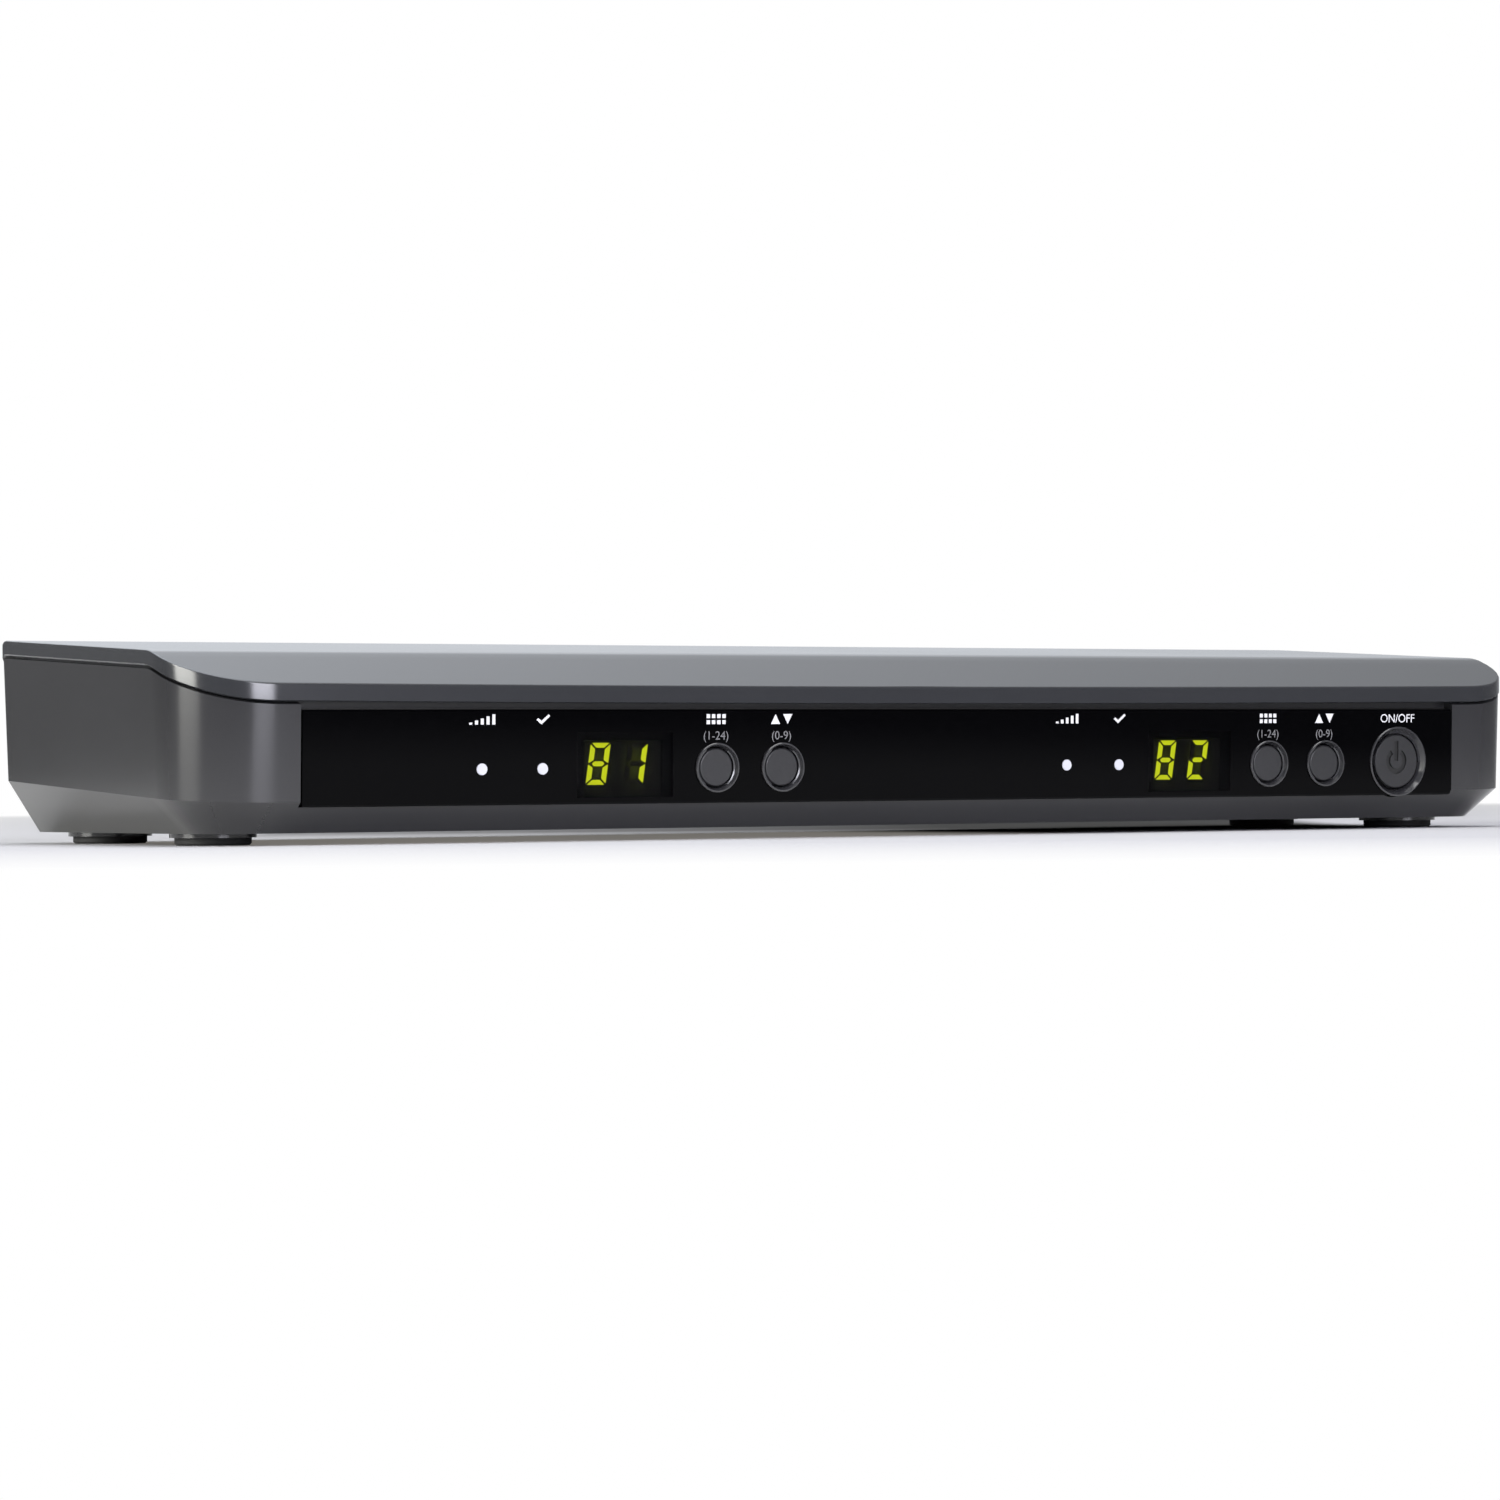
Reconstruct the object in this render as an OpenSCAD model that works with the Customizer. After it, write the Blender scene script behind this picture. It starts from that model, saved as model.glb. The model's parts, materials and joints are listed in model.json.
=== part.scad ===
// Two-channel wireless receiver for a desk or half a rack shelf.
// +X runs to the right along the front, +Y to the back, +Z up; the feet stand on Z = 0.

/* [Body] */
// Width across the front
body_w = 388; // [370:1:420]
// Depth from the front edge to the back edge
body_d = 116; // [112:1:130]
// Height of the lid's back edge
body_h = 50; // [48:0.5:56]
// Height of the housing's underside
under_h = 2.8; // [2.2:0.1:4]
// Radius of the front corners in plan
corner_r = 22; // [12:1:24]
// Radius of the back corners in plan
back_corner_r = 1; // [0.8:0.1:4]
// How far the ends of the front face lie behind its middle
front_bow = 2.1; // [0.5:0.1:4]
// Slope of the housing's walls
draft = 1.93; // [0.5:0.01:3]
// Thickness of the housing's walls and floor
wall = 2.5; // [1.8:0.1:3]
// Height of the line where the chamfer starts, at the front
chamfer_front_h = 9.84; // [8:0.1:12]
// Height of the same line at the back
chamfer_back_h = 15.5; // [13:0.1:18]
// How far the chamfer brings the underside in
chamfer_in = 9.5; // [6:0.5:12]
// Depth of the recess in which the back panel lies
back_recess = 3.3; // [2:0.5:4]
// Width of the cheeks beside that recess
back_cheek = 8; // [5:0.5:12]
// Height of the recess's upper edge
recess_top_h = 41.3; // [38:0.1:42]

/* [Lid] */
// Height of the lid's front edge
lid_front_h = 36.6; // [35:0.1:38]
// Fall of the lid's top for each unit of depth
lid_fall = 0.052; // [0.02:0.002:0.08]
// Distance of the bend behind the front
bend_d = 25.5; // [25:0.5:32]
// Half the length of the rounded stretch at the bend
bend_soft = 3; // [1:0.5:4]
// Radius of the lid's back edge
lid_back_r = 2.5; // [1:0.5:4]
// Height of the lid's band at the front
band_front = 4.35; // [3.5:0.05:5]
// Height of the lid's band along the sides
band_side = 3.8; // [3:0.1:5]
// Thickness of the lid's top
lid_t = 2.2; // [1.6:0.1:3]
// Thickness of the lid's band
band_t = 4.2; // [3.6:0.1:5]
// Bevel on the lid's edges
lid_edge = 0.5; // [0.2:0.1:0.8]
// Shadow gap between the lid and the housing
shadow_gap = 0.6; // [0.3:0.1:1]
// How far the lid stands out over the housing
lid_over = 0.3; // [0.1:0.1:0.6]
// Depth of the lip that locates the lid inside the housing
lip_h = 3; // [2:0.5:4]

/* [Front] */
// Half the width of the lens
lens_half_w = 166.3; // [160:0.1:168]
// Height of the lens's lower edge
lens_lo = 8.85; // [8:0.05:9.5]
// Height of the lens's upper edge
lens_hi = 31.1; // [30:0.1:31.5]
// Thickness of the lens
lens_t = 1.6; // [1.2:0.1:2]
// Thickness of the bezel's plate behind the lens
bezel_t = 1.7; // [1.2:0.1:2]
// How far the bezel stands up behind the lens's upper edge
bezel_rise = 0.5; // [0.2:0.1:0.6]
// Gap round the lens
lens_gap = 0.4; // [0.2:0.1:0.8]
// Distance of the power button from the lens's end
power_end = 17.9; // [16:0.1:19]
// Distance from the second channel's last button to the power button
power_pitch = 23.8; // [22:0.1:26]
// Places of the first channel's two indicators
led_x = [-120.6, -104.7];
// Place of the first channel's display
display_x = -82.3; // [-84:0.1:-80]
// Place of the first channel's group button
group_x = -57.6; // [-59:0.1:-56]
// Place of the first channel's channel button
channel_x = -39.4; // [-41:0.1:-38]
// Height of the row of controls
row_h = 17.2; // [16.5:0.1:18]
// Height of the power button
power_h = 17.5; // [17:0.1:18]

/* [Buttons] */
// Outer radius of the ring round a small button
ring_r = 5.95; // [5.5:0.05:6.5]
// Outer radius of the ring round the power button
power_ring_r = 9.1; // [8.5:0.1:9.5]
// How far the rings stand out of the lens
ring_out = 0.6; // [0.3:0.1:1]
// Radius of a small button's cap
cap_r = 4.6; // [4:0.1:4.8]
// Radius of the power button's cap
power_cap_r = 7; // [6:0.1:7.5]
// Depth of the small caps below the rim of their rings
cap_sunk = 1.85; // [1:0.05:2.2]
// Depth of the power cap below the rim of its ring
power_sunk = 2.5; // [1.5:0.1:2.8]
// Gap between a cap and the wall round it
cap_gap = 0.2; // [0.15:0.05:0.3]
// Travel of a small button
button_travel = 0.8; // [0.3:0.1:1]
// Travel of the power button
power_travel = 2.5; // [1:0.1:2.5]

/* [Display] */
// Width of the opening over a display
window_w = 21.2; // [20:0.1:22]
// Height of the opening over a display
window_h = 13.5; // [12:0.1:14.5]
// Height of a digit
digit_h = 9.7; // [8:0.1:10]
// Width of a digit
digit_w = 6.1; // [5:0.1:6.5]
// Distance between the two digits
digit_pitch = 10.05; // [9:0.05:10.5]
// Width of a segment
segment_w = 1.05; // [0.8:0.05:1.4]
// Lean of the digits
digit_lean = 8; // [0:1:12]

/* [Boards] */
// Thickness of the circuit boards
board_t = 1.6; // [1:0.1:2]
// Distance from the middle of the lens's face to the control board
control_depth = 12.4; // [12.2:0.1:13.5]
// Height of the main board's underside
main_h = 10; // [9:0.5:11]
// Distance from the body's side to the end of the main board
main_side_gap = 29; // [26:1:32]
// Distance of the main board's front edge behind the front
main_front_gap = 20; // [19:0.5:22]
// Gap from the main board to the back panel
main_back_gap = 1; // [0.5:0.5:2]
// Width of a shield can
shield_w = 56; // [50:1:58]
// Depth of a shield can
shield_d = 36; // [32:1:38]
// Height of a shield can
shield_h = 9; // [6:0.5:12]
// Height of an aerial strip above the main board
aerial_h = 26; // [22:0.5:27]
// Length of an aerial strip
aerial_len = 40; // [34:1:44]
// Radius of a capacitor
capacitor_r = 4; // [3:0.5:5]
// Height of a capacitor
capacitor_h = 11.5; // [8:0.5:14]
// Length of an audio chip
chip_w = 10; // [8:0.5:12]
// Width of an audio chip
chip_d = 6; // [4:0.5:7]

/* [Back] */
// Places of the two balanced outputs
xlr_x = [-66, 106];
// Places of the two jack outputs
jack_x = [-106, 66];
// Place of the power inlet
inlet_x = 148; // [144:1:152]
// Height of the outputs' centres
output_h = 25; // [24:0.5:27]
// Radius inside the balanced output's cup
xlr_cup_r = 9.35; // [9.2:0.05:9.6]
// Depth of the cup
xlr_depth = 13.5; // [12:0.5:15]
// Radius of a contact pin
xlr_pin_r = 1.2; // [1.1:0.05:1.3]
// Distance of a contact pin from the cup's centre
xlr_pin_circle = 3.55; // [3.4:0.05:3.7]
// Radius of the jack's bore
jack_bore_r = 3.25; // [3.2:0.05:3.4]
// Depth of the jack's bore
jack_depth = 30.5; // [28:0.5:32]
// Radius of the inlet's bore
inlet_bore_r = 3.1; // [2.9:0.05:3.3]
// Radius of the inlet's pin
inlet_pin_r = 1; // [0.8:0.05:1.2]
// Depth of the inlet's bore
inlet_depth = 9.5; // [8:0.5:11]

/* [Feet and screws] */
// Radius of a rubber foot
foot_r = 9; // [7:0.5:9.5]
// Radius of the boss that carries a foot
foot_boss_r = 10.2; // [9.8:0.1:10.4]
// Distance of the feet from the body's side
foot_side = 20; // [20:1:28]
// Distance of the front feet behind the front
foot_front = 35; // [32:1:40]
// Distance of the back feet from the back
foot_back_gap = 20; // [18:1:30]
// Radius of the screws' shanks
screw_r = 1.5; // [1.2:0.1:1.6]
// Height at which the housing's screw bosses meet the lid's
boss_meet_h = 24; // [22:0.5:28]

/* [Hidden] */

$fn = 48;
eps = 0.01;
front_plane = -body_d / 2;
back_plane = body_d / 2;
panel_out = back_plane - back_recess;      // outer face of the back panel
panel_in = panel_out - wall;               // inner face of the back panel
floor_h = under_h + wall;

// Lid: its height at the bend, and the slope in front of it
bend_h = body_h - lid_fall * (body_d - bend_d);
front_rise = (bend_h - lid_front_h) / bend_d;
split_front_h = lid_front_h - band_front;

// Points along the front, a front corner, a side and a back corner of half an outline
front_steps = 10;
corner_steps = 10;
side_steps = 4;
back_steps = 4;

// Frame behind the lens: its depth, and how far it reaches in over the lens
ledge_depth = 7;
ledge_side = 4.5;
ledge_low = 1.3;
ledge_high = 2.4;

// Depths are measured back from the lens's face
bezel_front = lens_t + 0.05;
bezel_back = bezel_front + bezel_t;
pocket_depth = bezel_back + 0.15;
module_front = bezel_front + 0.35;

// Places along the front, from the lens's right end
power_x = lens_half_w - power_end;
channel_pitch = power_x - power_pitch - channel_x;
channels = [0, channel_pitch];
small_button_x = [group_x, channel_x, group_x + channel_pitch, channel_x + channel_pitch];
control_screws_at = [16.3 - lens_half_w, -22, 22, power_x - 20.4];
control_screw_h = 25.4;

// Buttons and the switches behind them
flange_gap = 0.35;
flange_t = 0.85;
flange_out = 1;
tact_h = 3.5;
tact_w = 6;
plunger_out = 1.2;
plunger_r = 1.7;
plunger_in = 1.8;
plunger_gap = 0.05;
power_stem_r = 2.4;
power_stem_end = 7;
power_switch_len = 11;
power_switch_w = 8.5;
power_plunger_r = 1.6;
power_plunger_in = 3.4;
switch_back = board_t + 0.5;

// Indicators
pipe_r = 1.35;
pipe_collar = 0.8;
hole_gap = 0.08;
led_r = 1.5;
led_h = 4.1;

// Displays
module_gap = 0.3;
segment_t = 0.15;
segment_gap = 0.18;
digit_shift = -1.9;
digit_z = 18.5;
window_z = 17.15;

// Boards, and what stands on them
main_top = main_h + board_t;
main_half_w = body_w / 2 - main_side_gap;
main_front = front_plane + main_front_gap;
main_back = panel_in - main_back_gap;
header_h = 4;
header_x = -122;
header_w = 20;
header_d = 5;
ribbon_bend = 3;
ribbon_t = 1;
ribbon_z = 20;
sheet_t = 0.5;
shield_x = 112;
shield_y = main_front + 12;
aerial_foot = 7;
capacitors_at = [for (x = [-36, -24, 24, 36], y = [-8, 8]) [x, y]];
chip_t = 1.6;

// Back
inlet_z = main_top + 6;
shell_t = 1.25;
shell_lip = 1.5;
cup_floor = shell_lip - xlr_depth;
insert_t = 5;
pin_proud = 11;
pin_stem = 4;
pin_stem_r = 0.9;
bushing_r = 5.5;
bushing_out = 2.4;
nut_t = 1.9;
nut_r = 7.6;
jack_w = 16;
jack_back = panel_out + bushing_out - jack_depth - 3;
inlet_w = 9;
inlet_collar_r = 4;
inlet_len = 14;
inlet_stem = 2;
inlet_stem_r = 0.7;

// Feet, bosses and screws
feet_at = [for (side = [-1, 1], y = [front_plane + foot_front, back_plane - foot_back_gap])
  [side * (body_w / 2 - foot_side), y]];
foot_well = 0.4;
foot_boss_h = 1;
case_screws_at = [[18 - body_w / 2, 8], [body_w / 2 - 18, 8],
  [-60, main_front + 8], [60, main_front + 8], [0, main_back - 9.2]];
board_screws_at = concat([[0, 0]],
  [for (side = [-1, 1], y = [main_front + 8, main_back - 19.2]) [side * (main_half_w - 8), y]]);
case_boss_r = 4.5;
board_post_r = 3.5;
thread_gap = 0.02;
screw_head_r = 2.9;
screw_head_h = 2;
head_well_r = 3.2;
head_seat_h = 7;
floor_ribs = [-120, -90, -30, 30, 90, 120];
lid_ribs = [0.345, 0.517, 0.69];
rib_t = 1.2;

// ---- the shape of the shell ----

function bow(x) = front_bow * pow(x / (body_w / 2), 2);

// Height of the lid's top over a point at distance t behind the front
function roof(t) =
  let (low = lid_front_h + front_rise * t,
       high = body_h - lid_fall * (body_d - t),
       soft = t - bend_d + bend_soft,
       flat = t < bend_d - bend_soft ? low
            : t > bend_d + bend_soft ? high
            : low - soft * soft * (front_rise - lid_fall) / (4 * bend_soft),
       over = max(0, t - body_d + lid_back_r))
  flat - lid_back_r + sqrt(max(0, lid_back_r * lid_back_r - over * over));

function band(t) = band_side + (band_front - band_side) * max(0, 1 - t / bend_d);
function split(t) = roof(t) - band(t);
function chamfer(t) = chamfer_front_h + (chamfer_back_h - chamfer_front_h) * t / body_d;

// Half of the plan outline as [x, t], brought in by these amounts at the sides, front and back
function half_plan(side_in, front_in, back_in) =
  let (half_w = body_w / 2 - side_in,
       r = corner_r - min(max(side_in, front_in), corner_r - 2),
       start_x = half_w - r,
       centre_t = front_in + bow(start_x) + r,
       back_r = max(back_corner_r - side_in, 0.6),
       back_t = body_d - back_in - back_r,
       bend_end = bend_d + bend_soft,
       edge_t = min(body_d - lid_back_r, back_t - 0.3))
  concat(
    [for (i = [0:front_steps]) let (x = start_x * i / front_steps) [x, front_in + bow(x)]],
    [for (i = [1:corner_steps]) let (a = 90 * i / corner_steps)
      [start_x + r * sin(a), centre_t - r * cos(a)]],
    [for (i = [1:side_steps]) [half_w, centre_t + (bend_end - centre_t) * i / side_steps]],
    [[half_w, edge_t], [half_w, (edge_t + back_t) / 2]],
    [for (i = [0:back_steps]) let (a = 90 * i / back_steps)
      [half_w - back_r + back_r * cos(a), back_t + back_r * sin(a)]]);

// A closed ring: the half plan and its mirror image, lifted to the height that the function gives
function ring(plan, height) =
  let (n = len(plan))
  concat(
    [for (p = plan) [p.x, p.y + front_plane, height(p.y)]],
    [for (i = [n - 1:-1:1]) [-plan[i].x, plan[i].y + front_plane, height(plan[i].y)]]);

// A solid skinned over rings of the same number of points, from the lowest to the highest
module loft(rings) {
  n = len(rings[0]);
  top = (len(rings) - 1) * n;
  pairs = (n - 1) / 2;
  sides = [for (k = [0:len(rings) - 2], i = [0:n - 1])
    let (a = k * n + i, b = k * n + (i + 1) % n, c = b + n, d = a + n) each [[a, c, b], [a, d, c]]];
  below = [for (i = [0:pairs - 1])
    let (right = i, next_right = i + 1, left = (n - i) % n, next_left = n - i - 1)
    each concat([[right, next_right, next_left]], i > 0 ? [[right, next_left, left]] : [])];
  above = [for (f = below) [top + f[0], top + f[2], top + f[1]]];
  polyhedron([for (one = rings) each one], concat(sides, below, above));
}

// The housing's outline at the lid, at the chamfer's upper line and at the underside, brought in by t_wall
module housing_form(t_wall, low_h, high) {
  foot_in = chamfer_in + t_wall * 0.4;
  top_in = lid_over + t_wall;
  side_in = top_in + tan(draft) * (split(body_d / 2) - chamfer(body_d / 2));
  front_in = top_in + tan(draft) * (split_front_h - chamfer_front_h);
  loft([
    ring(half_plan(foot_in, foot_in, top_in), function(t) low_h),
    ring(half_plan(side_in, front_in, top_in), function(t) chamfer(t) + t_wall * 0.45),
    ring(half_plan(top_in, top_in, top_in), function(t) split(t) + high)]);
}

// ---- the front face ----

// Distance of the housing's face behind the front plane at height z
function face_in(z) = lid_over + tan(draft) * (split_front_h - z);
function face_y(x, z) = front_plane + bow(x) + face_in(z);

// A bar with a constant section [depth, height] that follows the bowed, drafted face
module face_bar(half_w, section) {
  steps = 2 * front_steps;
  m = len(section);
  points = [for (k = [0:steps], p = section)
    let (x = half_w * (2 * k / steps - 1)) [x, face_y(x, p[1]) + p[0], p[1]]];
  sides = [for (k = [0:steps - 1], j = [0:m - 1])
    let (a = k * m + j, b = k * m + (j + 1) % m, c = b + m, d = a + m) each [[a, d, c], [a, c, b]]];
  left = [for (j = [0:m - 1]) j];
  right = [for (j = [m - 1:-1:0]) steps * m + j];
  polyhedron(points, concat(sides, [left, right]));
}

// Children sit on the face at x and height z, with their own +Z pointing out of it,
// and $depth set to the distance from the face to the flat control board there
module on_face(x, z) {
  $depth = control_depth - bow(x);
  translate([x, face_y(x, z), z]) rotate([90 + draft, 0, 0]) children();
}

module face_hole(x, z, r, depth) {
  on_face(x, z) translate([0, 0, -depth]) cylinder(h = depth + 3, r = r);
}

module each_indicator() {
  for (c = channels, x = led_x) on_face(x + c, row_h) children();
}

module each_small_button() {
  for (x = small_button_x) on_face(x, row_h) children();
}

// ---- shell ----

// Holes in the back panel for the outputs and the inlet
module output_holes(extra) {
  for (x = xlr_x) panel_hole(x, output_h, xlr_cup_r + shell_t + extra);
  for (x = jack_x) panel_hole(x, output_h, bushing_r + extra);
  panel_hole(inlet_x, inlet_z, inlet_collar_r + extra);
}

module panel_hole(x, z, r) {
  at_back(x, z) translate([0, 0, -wall - 1]) cylinder(h = wall + 2, r = r);
}

// The room inside the housing: it stops short of the frame behind the lens
module housing_hollow() {
  frame_half_w = lens_half_w + ledge_side;
  intersection() {
    housing_form(wall, floor_h, 4);
    union() {
      translate([-body_w / 2, front_plane + ledge_depth, 0])
        cube([body_w, panel_in - front_plane - ledge_depth, body_h + 9]);
      for (side = [-1, 1])
        translate([side * (frame_half_w + body_w / 2) / 2, front_plane + ledge_depth / 2 + 1, body_h / 2])
          cube([body_w / 2 - frame_half_w, ledge_depth + 3, body_h + 9], center = true);
    }
  }
}

module bottom_housing() {
  color("#4a4a4c")
  difference() {
    union() {
      difference() {
        housing_form(0, under_h, -shadow_gap);
        housing_hollow();
      }
      for (p = case_screws_at) post(p, under_h + 1, boss_meet_h, case_boss_r);
      for (p = board_screws_at) post(p, under_h + 1, main_h, board_post_r);
      for (p = feet_at) post(p, under_h - foot_boss_h, under_h + wall / 2, foot_boss_r);
      for (x = floor_ribs) translate([x - rib_t / 2, main_front + 2, under_h + 1])
        cube([rib_t, panel_in - main_front - 1, main_h - under_h - 2.5]);
    }
    lens_pocket();
    // recess of the back panel
    translate([-body_w / 2 + back_cheek, panel_out, floor_h + 1])
      cube([body_w - 2 * back_cheek, back_recess + 1, recess_top_h - floor_h - 1]);
    output_holes(0.15);
    for (p = case_screws_at) {
      post(p, under_h - 1, head_seat_h, head_well_r);
      post(p, under_h - 1, boss_meet_h + 1, screw_r + 0.2);
    }
    for (p = board_screws_at) post(p, main_h - 6, main_h + 1, screw_r + thread_gap);
    for (p = feet_at) post(p, under_h - foot_boss_h - 1, under_h - foot_boss_h + foot_well, foot_r + 0.1);
  }
}

// Round post, or the hole for one, between two heights
module post(p, from_h, to_h, r) {
  translate([p.x, p.y, from_h]) cylinder(h = to_h - from_h, r = r);
}

// Pocket that the lens lies in, open above, and the window through the frame behind it
module lens_pocket() {
  low = lens_lo - 0.1;
  half_w = lens_half_w - ledge_side;
  face_bar(lens_half_w + lens_gap, [[-3, low], [pocket_depth, low], [pocket_depth, body_h], [-3, body_h]]);
  translate([-half_w, front_plane - 2, lens_lo + ledge_low])
    cube([2 * half_w, ledge_depth + 4, lens_hi - lens_lo - ledge_low - ledge_high]);
  face_hole(power_x, power_h, power_ring_r + 0.25, ledge_depth + 2);
}

module top_cover() {
  soft_edge = lid_edge * 0.3;
  low_edge = lid_edge * 0.9;
  color("#6d7074")
  difference() {
    union() {
      difference() {
        loft([
          ring(half_plan(low_edge, low_edge, low_edge), function(t) split(t)),
          ring(half_plan(0, 0, 0), function(t) split(t) + low_edge),
          ring(half_plan(0, 0, 0), function(t) roof(t) - lid_edge),
          ring(half_plan(soft_edge, soft_edge, soft_edge), function(t) roof(t) - soft_edge),
          ring(half_plan(lid_edge, lid_edge, lid_edge), function(t) roof(t))]);
        loft([
          ring(half_plan(band_t, band_t, band_t), function(t) split(t) - 3),
          ring(half_plan(band_t, band_t, band_t), function(t) roof(t) - lid_t)]);
      }
      locating_lip();
      intersection() {
        union() {
          for (p = case_screws_at) post(p, boss_meet_h, body_h, case_boss_r - 0.5);
          for (share = lid_ribs) translate([1 - body_w / 2, front_plane + body_d * share, body_h - 12])
            cube([body_w - 2, rib_t, 20]);
        }
        lid_inside();
      }
    }
    for (p = case_screws_at) post(p, boss_meet_h - 1, boss_meet_h + 13, screw_r + thread_gap);
  }
}

// The room between the lid's bands, up to the middle of its top
module lid_inside() {
  inset = band_t - 1;
  loft([
    ring(half_plan(inset, inset, inset), function(t) boss_meet_h),
    ring(half_plan(inset, inset, inset), function(t) roof(t) - lid_t / 2)]);
}

// Lip inside the side walls and corners of the housing
module locating_lip() {
  lip_out = lid_over + wall + 0.25;
  difference() {
    loft([
      ring(half_plan(lip_out, lip_out, lip_out), function(t) split(t) - lip_h),
      ring(half_plan(lip_out, lip_out, lip_out), function(t) split(t) + 0.5)]);
    loft([
      ring(half_plan(band_t, band_t, band_t), function(t) split(t) - lip_h - 1),
      ring(half_plan(band_t, band_t, band_t), function(t) split(t) + 1)]);
    translate([-lens_half_w - ledge_side - 1, front_plane - 1, 0])
      cube([2 * (lens_half_w + ledge_side + 1), ledge_depth + 5, body_h]);
    translate([-body_w / 2, panel_in - 1, 0]) cube([body_w, back_recess + wall + 5, body_h]);
  }
}

// ---- front pieces ----

module front_lens() {
  color("#0c0c0e")
  difference() {
    face_bar(lens_half_w, [[0.35, lens_lo], [lens_t, lens_lo], [lens_t, lens_hi], [0.45, lens_hi],
      [0, lens_hi - 0.45], [0, lens_lo + 0.35]]);
    for (x = small_button_x) face_hole(x, row_h, ring_r + hole_gap, lens_t + 3);
    face_hole(power_x, power_h, power_ring_r + hole_gap, lens_t + 3);
    each_indicator() translate([0, 0, -lens_t - 1]) cylinder(h = lens_t + 3, r = pipe_r + hole_gap);
  }
}

// Ring with a dished rim round a button, standing on the bezel's plate
module dished_ring(outer, bore, sunk) {
  lip = 0.3;
  rotate_extrude()
    polygon([[bore, -bezel_back + 0.05], [bore, ring_out - sunk], [outer - lip - 0.1, ring_out],
      [outer - lip / 2, ring_out], [outer, ring_out - lip / 2], [outer, -bezel_back + 0.05]]);
}

module front_bezel() {
  color("#0a0a0b")
  difference() {
    union() {
      difference() {
        face_bar(lens_half_w - 0.1, [[bezel_front, lens_lo + 0.05], [bezel_back, lens_lo + 0.05],
          [bezel_back, lens_hi + bezel_rise], [bezel_front, lens_hi + bezel_rise]]);
        for (c = channels) on_face(display_x + c, window_z)
          translate([-window_w / 2, -window_h / 2, -bezel_back - 2])
            cube([window_w, window_h, bezel_back + 3]);
      }
      each_small_button() dished_ring(ring_r, cap_r + cap_gap, cap_sunk);
      on_face(power_x, power_h) dished_ring(power_ring_r, power_cap_r + cap_gap, power_sunk);
      for (x = control_screws_at) on_face(x, control_screw_h)
        translate([0, 0, -$depth]) cylinder(h = $depth - bezel_front - 0.4, r = 2.6);
    }
    for (x = small_button_x) face_hole(x, row_h, cap_r + cap_gap, ledge_depth);
    face_hole(power_x, power_h, power_cap_r + cap_gap, ledge_depth);
    each_indicator() translate([0, 0, -ledge_depth]) cylinder(h = ledge_depth + 1, r = pipe_r + hole_gap);
    for (x = control_screws_at) on_face(x, control_screw_h)
      translate([0, 0, -$depth - 1]) cylinder(h = 6, r = 1 + thread_gap);
  }
}

// Cap with a retaining flange behind the bezel and a stem that reaches its switch
module button_cap(r, sunk, stem_r, stem_end) {
  face = ring_out - sunk;
  flange = -bezel_back - flange_gap;
  rotate_extrude()
    polygon([[0, -stem_end], [stem_r, -stem_end], [stem_r, flange - flange_t],
      [r + flange_out, flange - flange_t], [r + flange_out, flange], [r, flange],
      [r, face - 0.3], [r - 0.3, face], [0, face]]);
}

module small_button(x) {
  color("#37373a") on_face(x, row_h) button_cap(cap_r, cap_sunk, plunger_r, $depth - tact_h - plunger_out);
}

module small_plunger(x) {
  color("#d8d4c8") on_face(x, row_h)
    translate([0, 0, tact_h - plunger_in - $depth]) cylinder(h = plunger_out + plunger_in, r = plunger_r);
}

module group_button_1() small_button(small_button_x[0]);
module channel_button_1() small_button(small_button_x[1]);
module group_button_2() small_button(small_button_x[2]);
module channel_button_2() small_button(small_button_x[3]);
module group_plunger_1() small_plunger(small_button_x[0]);
module channel_plunger_1() small_plunger(small_button_x[1]);
module group_plunger_2() small_plunger(small_button_x[2]);
module channel_plunger_2() small_plunger(small_button_x[3]);

module power_button() {
  color("#3a3a3d") on_face(power_x, power_h)
    button_cap(power_cap_r, power_sunk, power_stem_r, power_stem_end);
}

module power_plunger() {
  color("#d8d4c8") on_face(power_x, power_h) translate([0, 0, -$depth - switch_back - power_plunger_in])
    cylinder(h = $depth + switch_back + power_plunger_in - power_stem_end, r = power_plunger_r);
}

module tact_switches() {
  well = plunger_in + button_travel + 0.2;
  color("#202022") each_small_button() difference() {
    translate([-tact_w / 2, -tact_w / 2, -$depth]) cube([tact_w, tact_w, tact_h]);
    translate([0, 0, tact_h - well - $depth]) cylinder(h = well + 1, r = plunger_r + plunger_gap);
  }
}

module power_switch() {
  color("#202022") on_face(power_x, power_h) difference() {
    translate([-power_switch_w / 2, -power_h + main_top + 0.6, -$depth - switch_back - power_switch_len])
      cube([power_switch_w, power_h - main_top - 0.6 + power_switch_w / 2, power_switch_len]);
    translate([0, 0, -$depth - switch_back - power_plunger_in - power_travel - 0.4])
      cylinder(h = power_switch_len, r = power_plunger_r + plunger_gap);
  }
}

module light_pipes() {
  color("#d4d6dc") each_indicator() {
    translate([0, 0, -$depth + led_h + 0.3]) cylinder(h = $depth - led_h - 0.15, r = pipe_r);
    translate([0, 0, -bezel_back - 0.12 - pipe_collar]) cylinder(h = pipe_collar, r = pipe_r + 0.8);
  }
}

module status_leds() {
  color("#c8ccd0") each_indicator() translate([0, 0, -$depth]) {
    cylinder(h = led_h - led_r, r = led_r);
    translate([0, 0, led_h - led_r]) intersection() {
      sphere(r = led_r);
      cylinder(h = led_r + 1, r = led_r + 1);
    }
  }
}

// ---- displays ----

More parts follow.
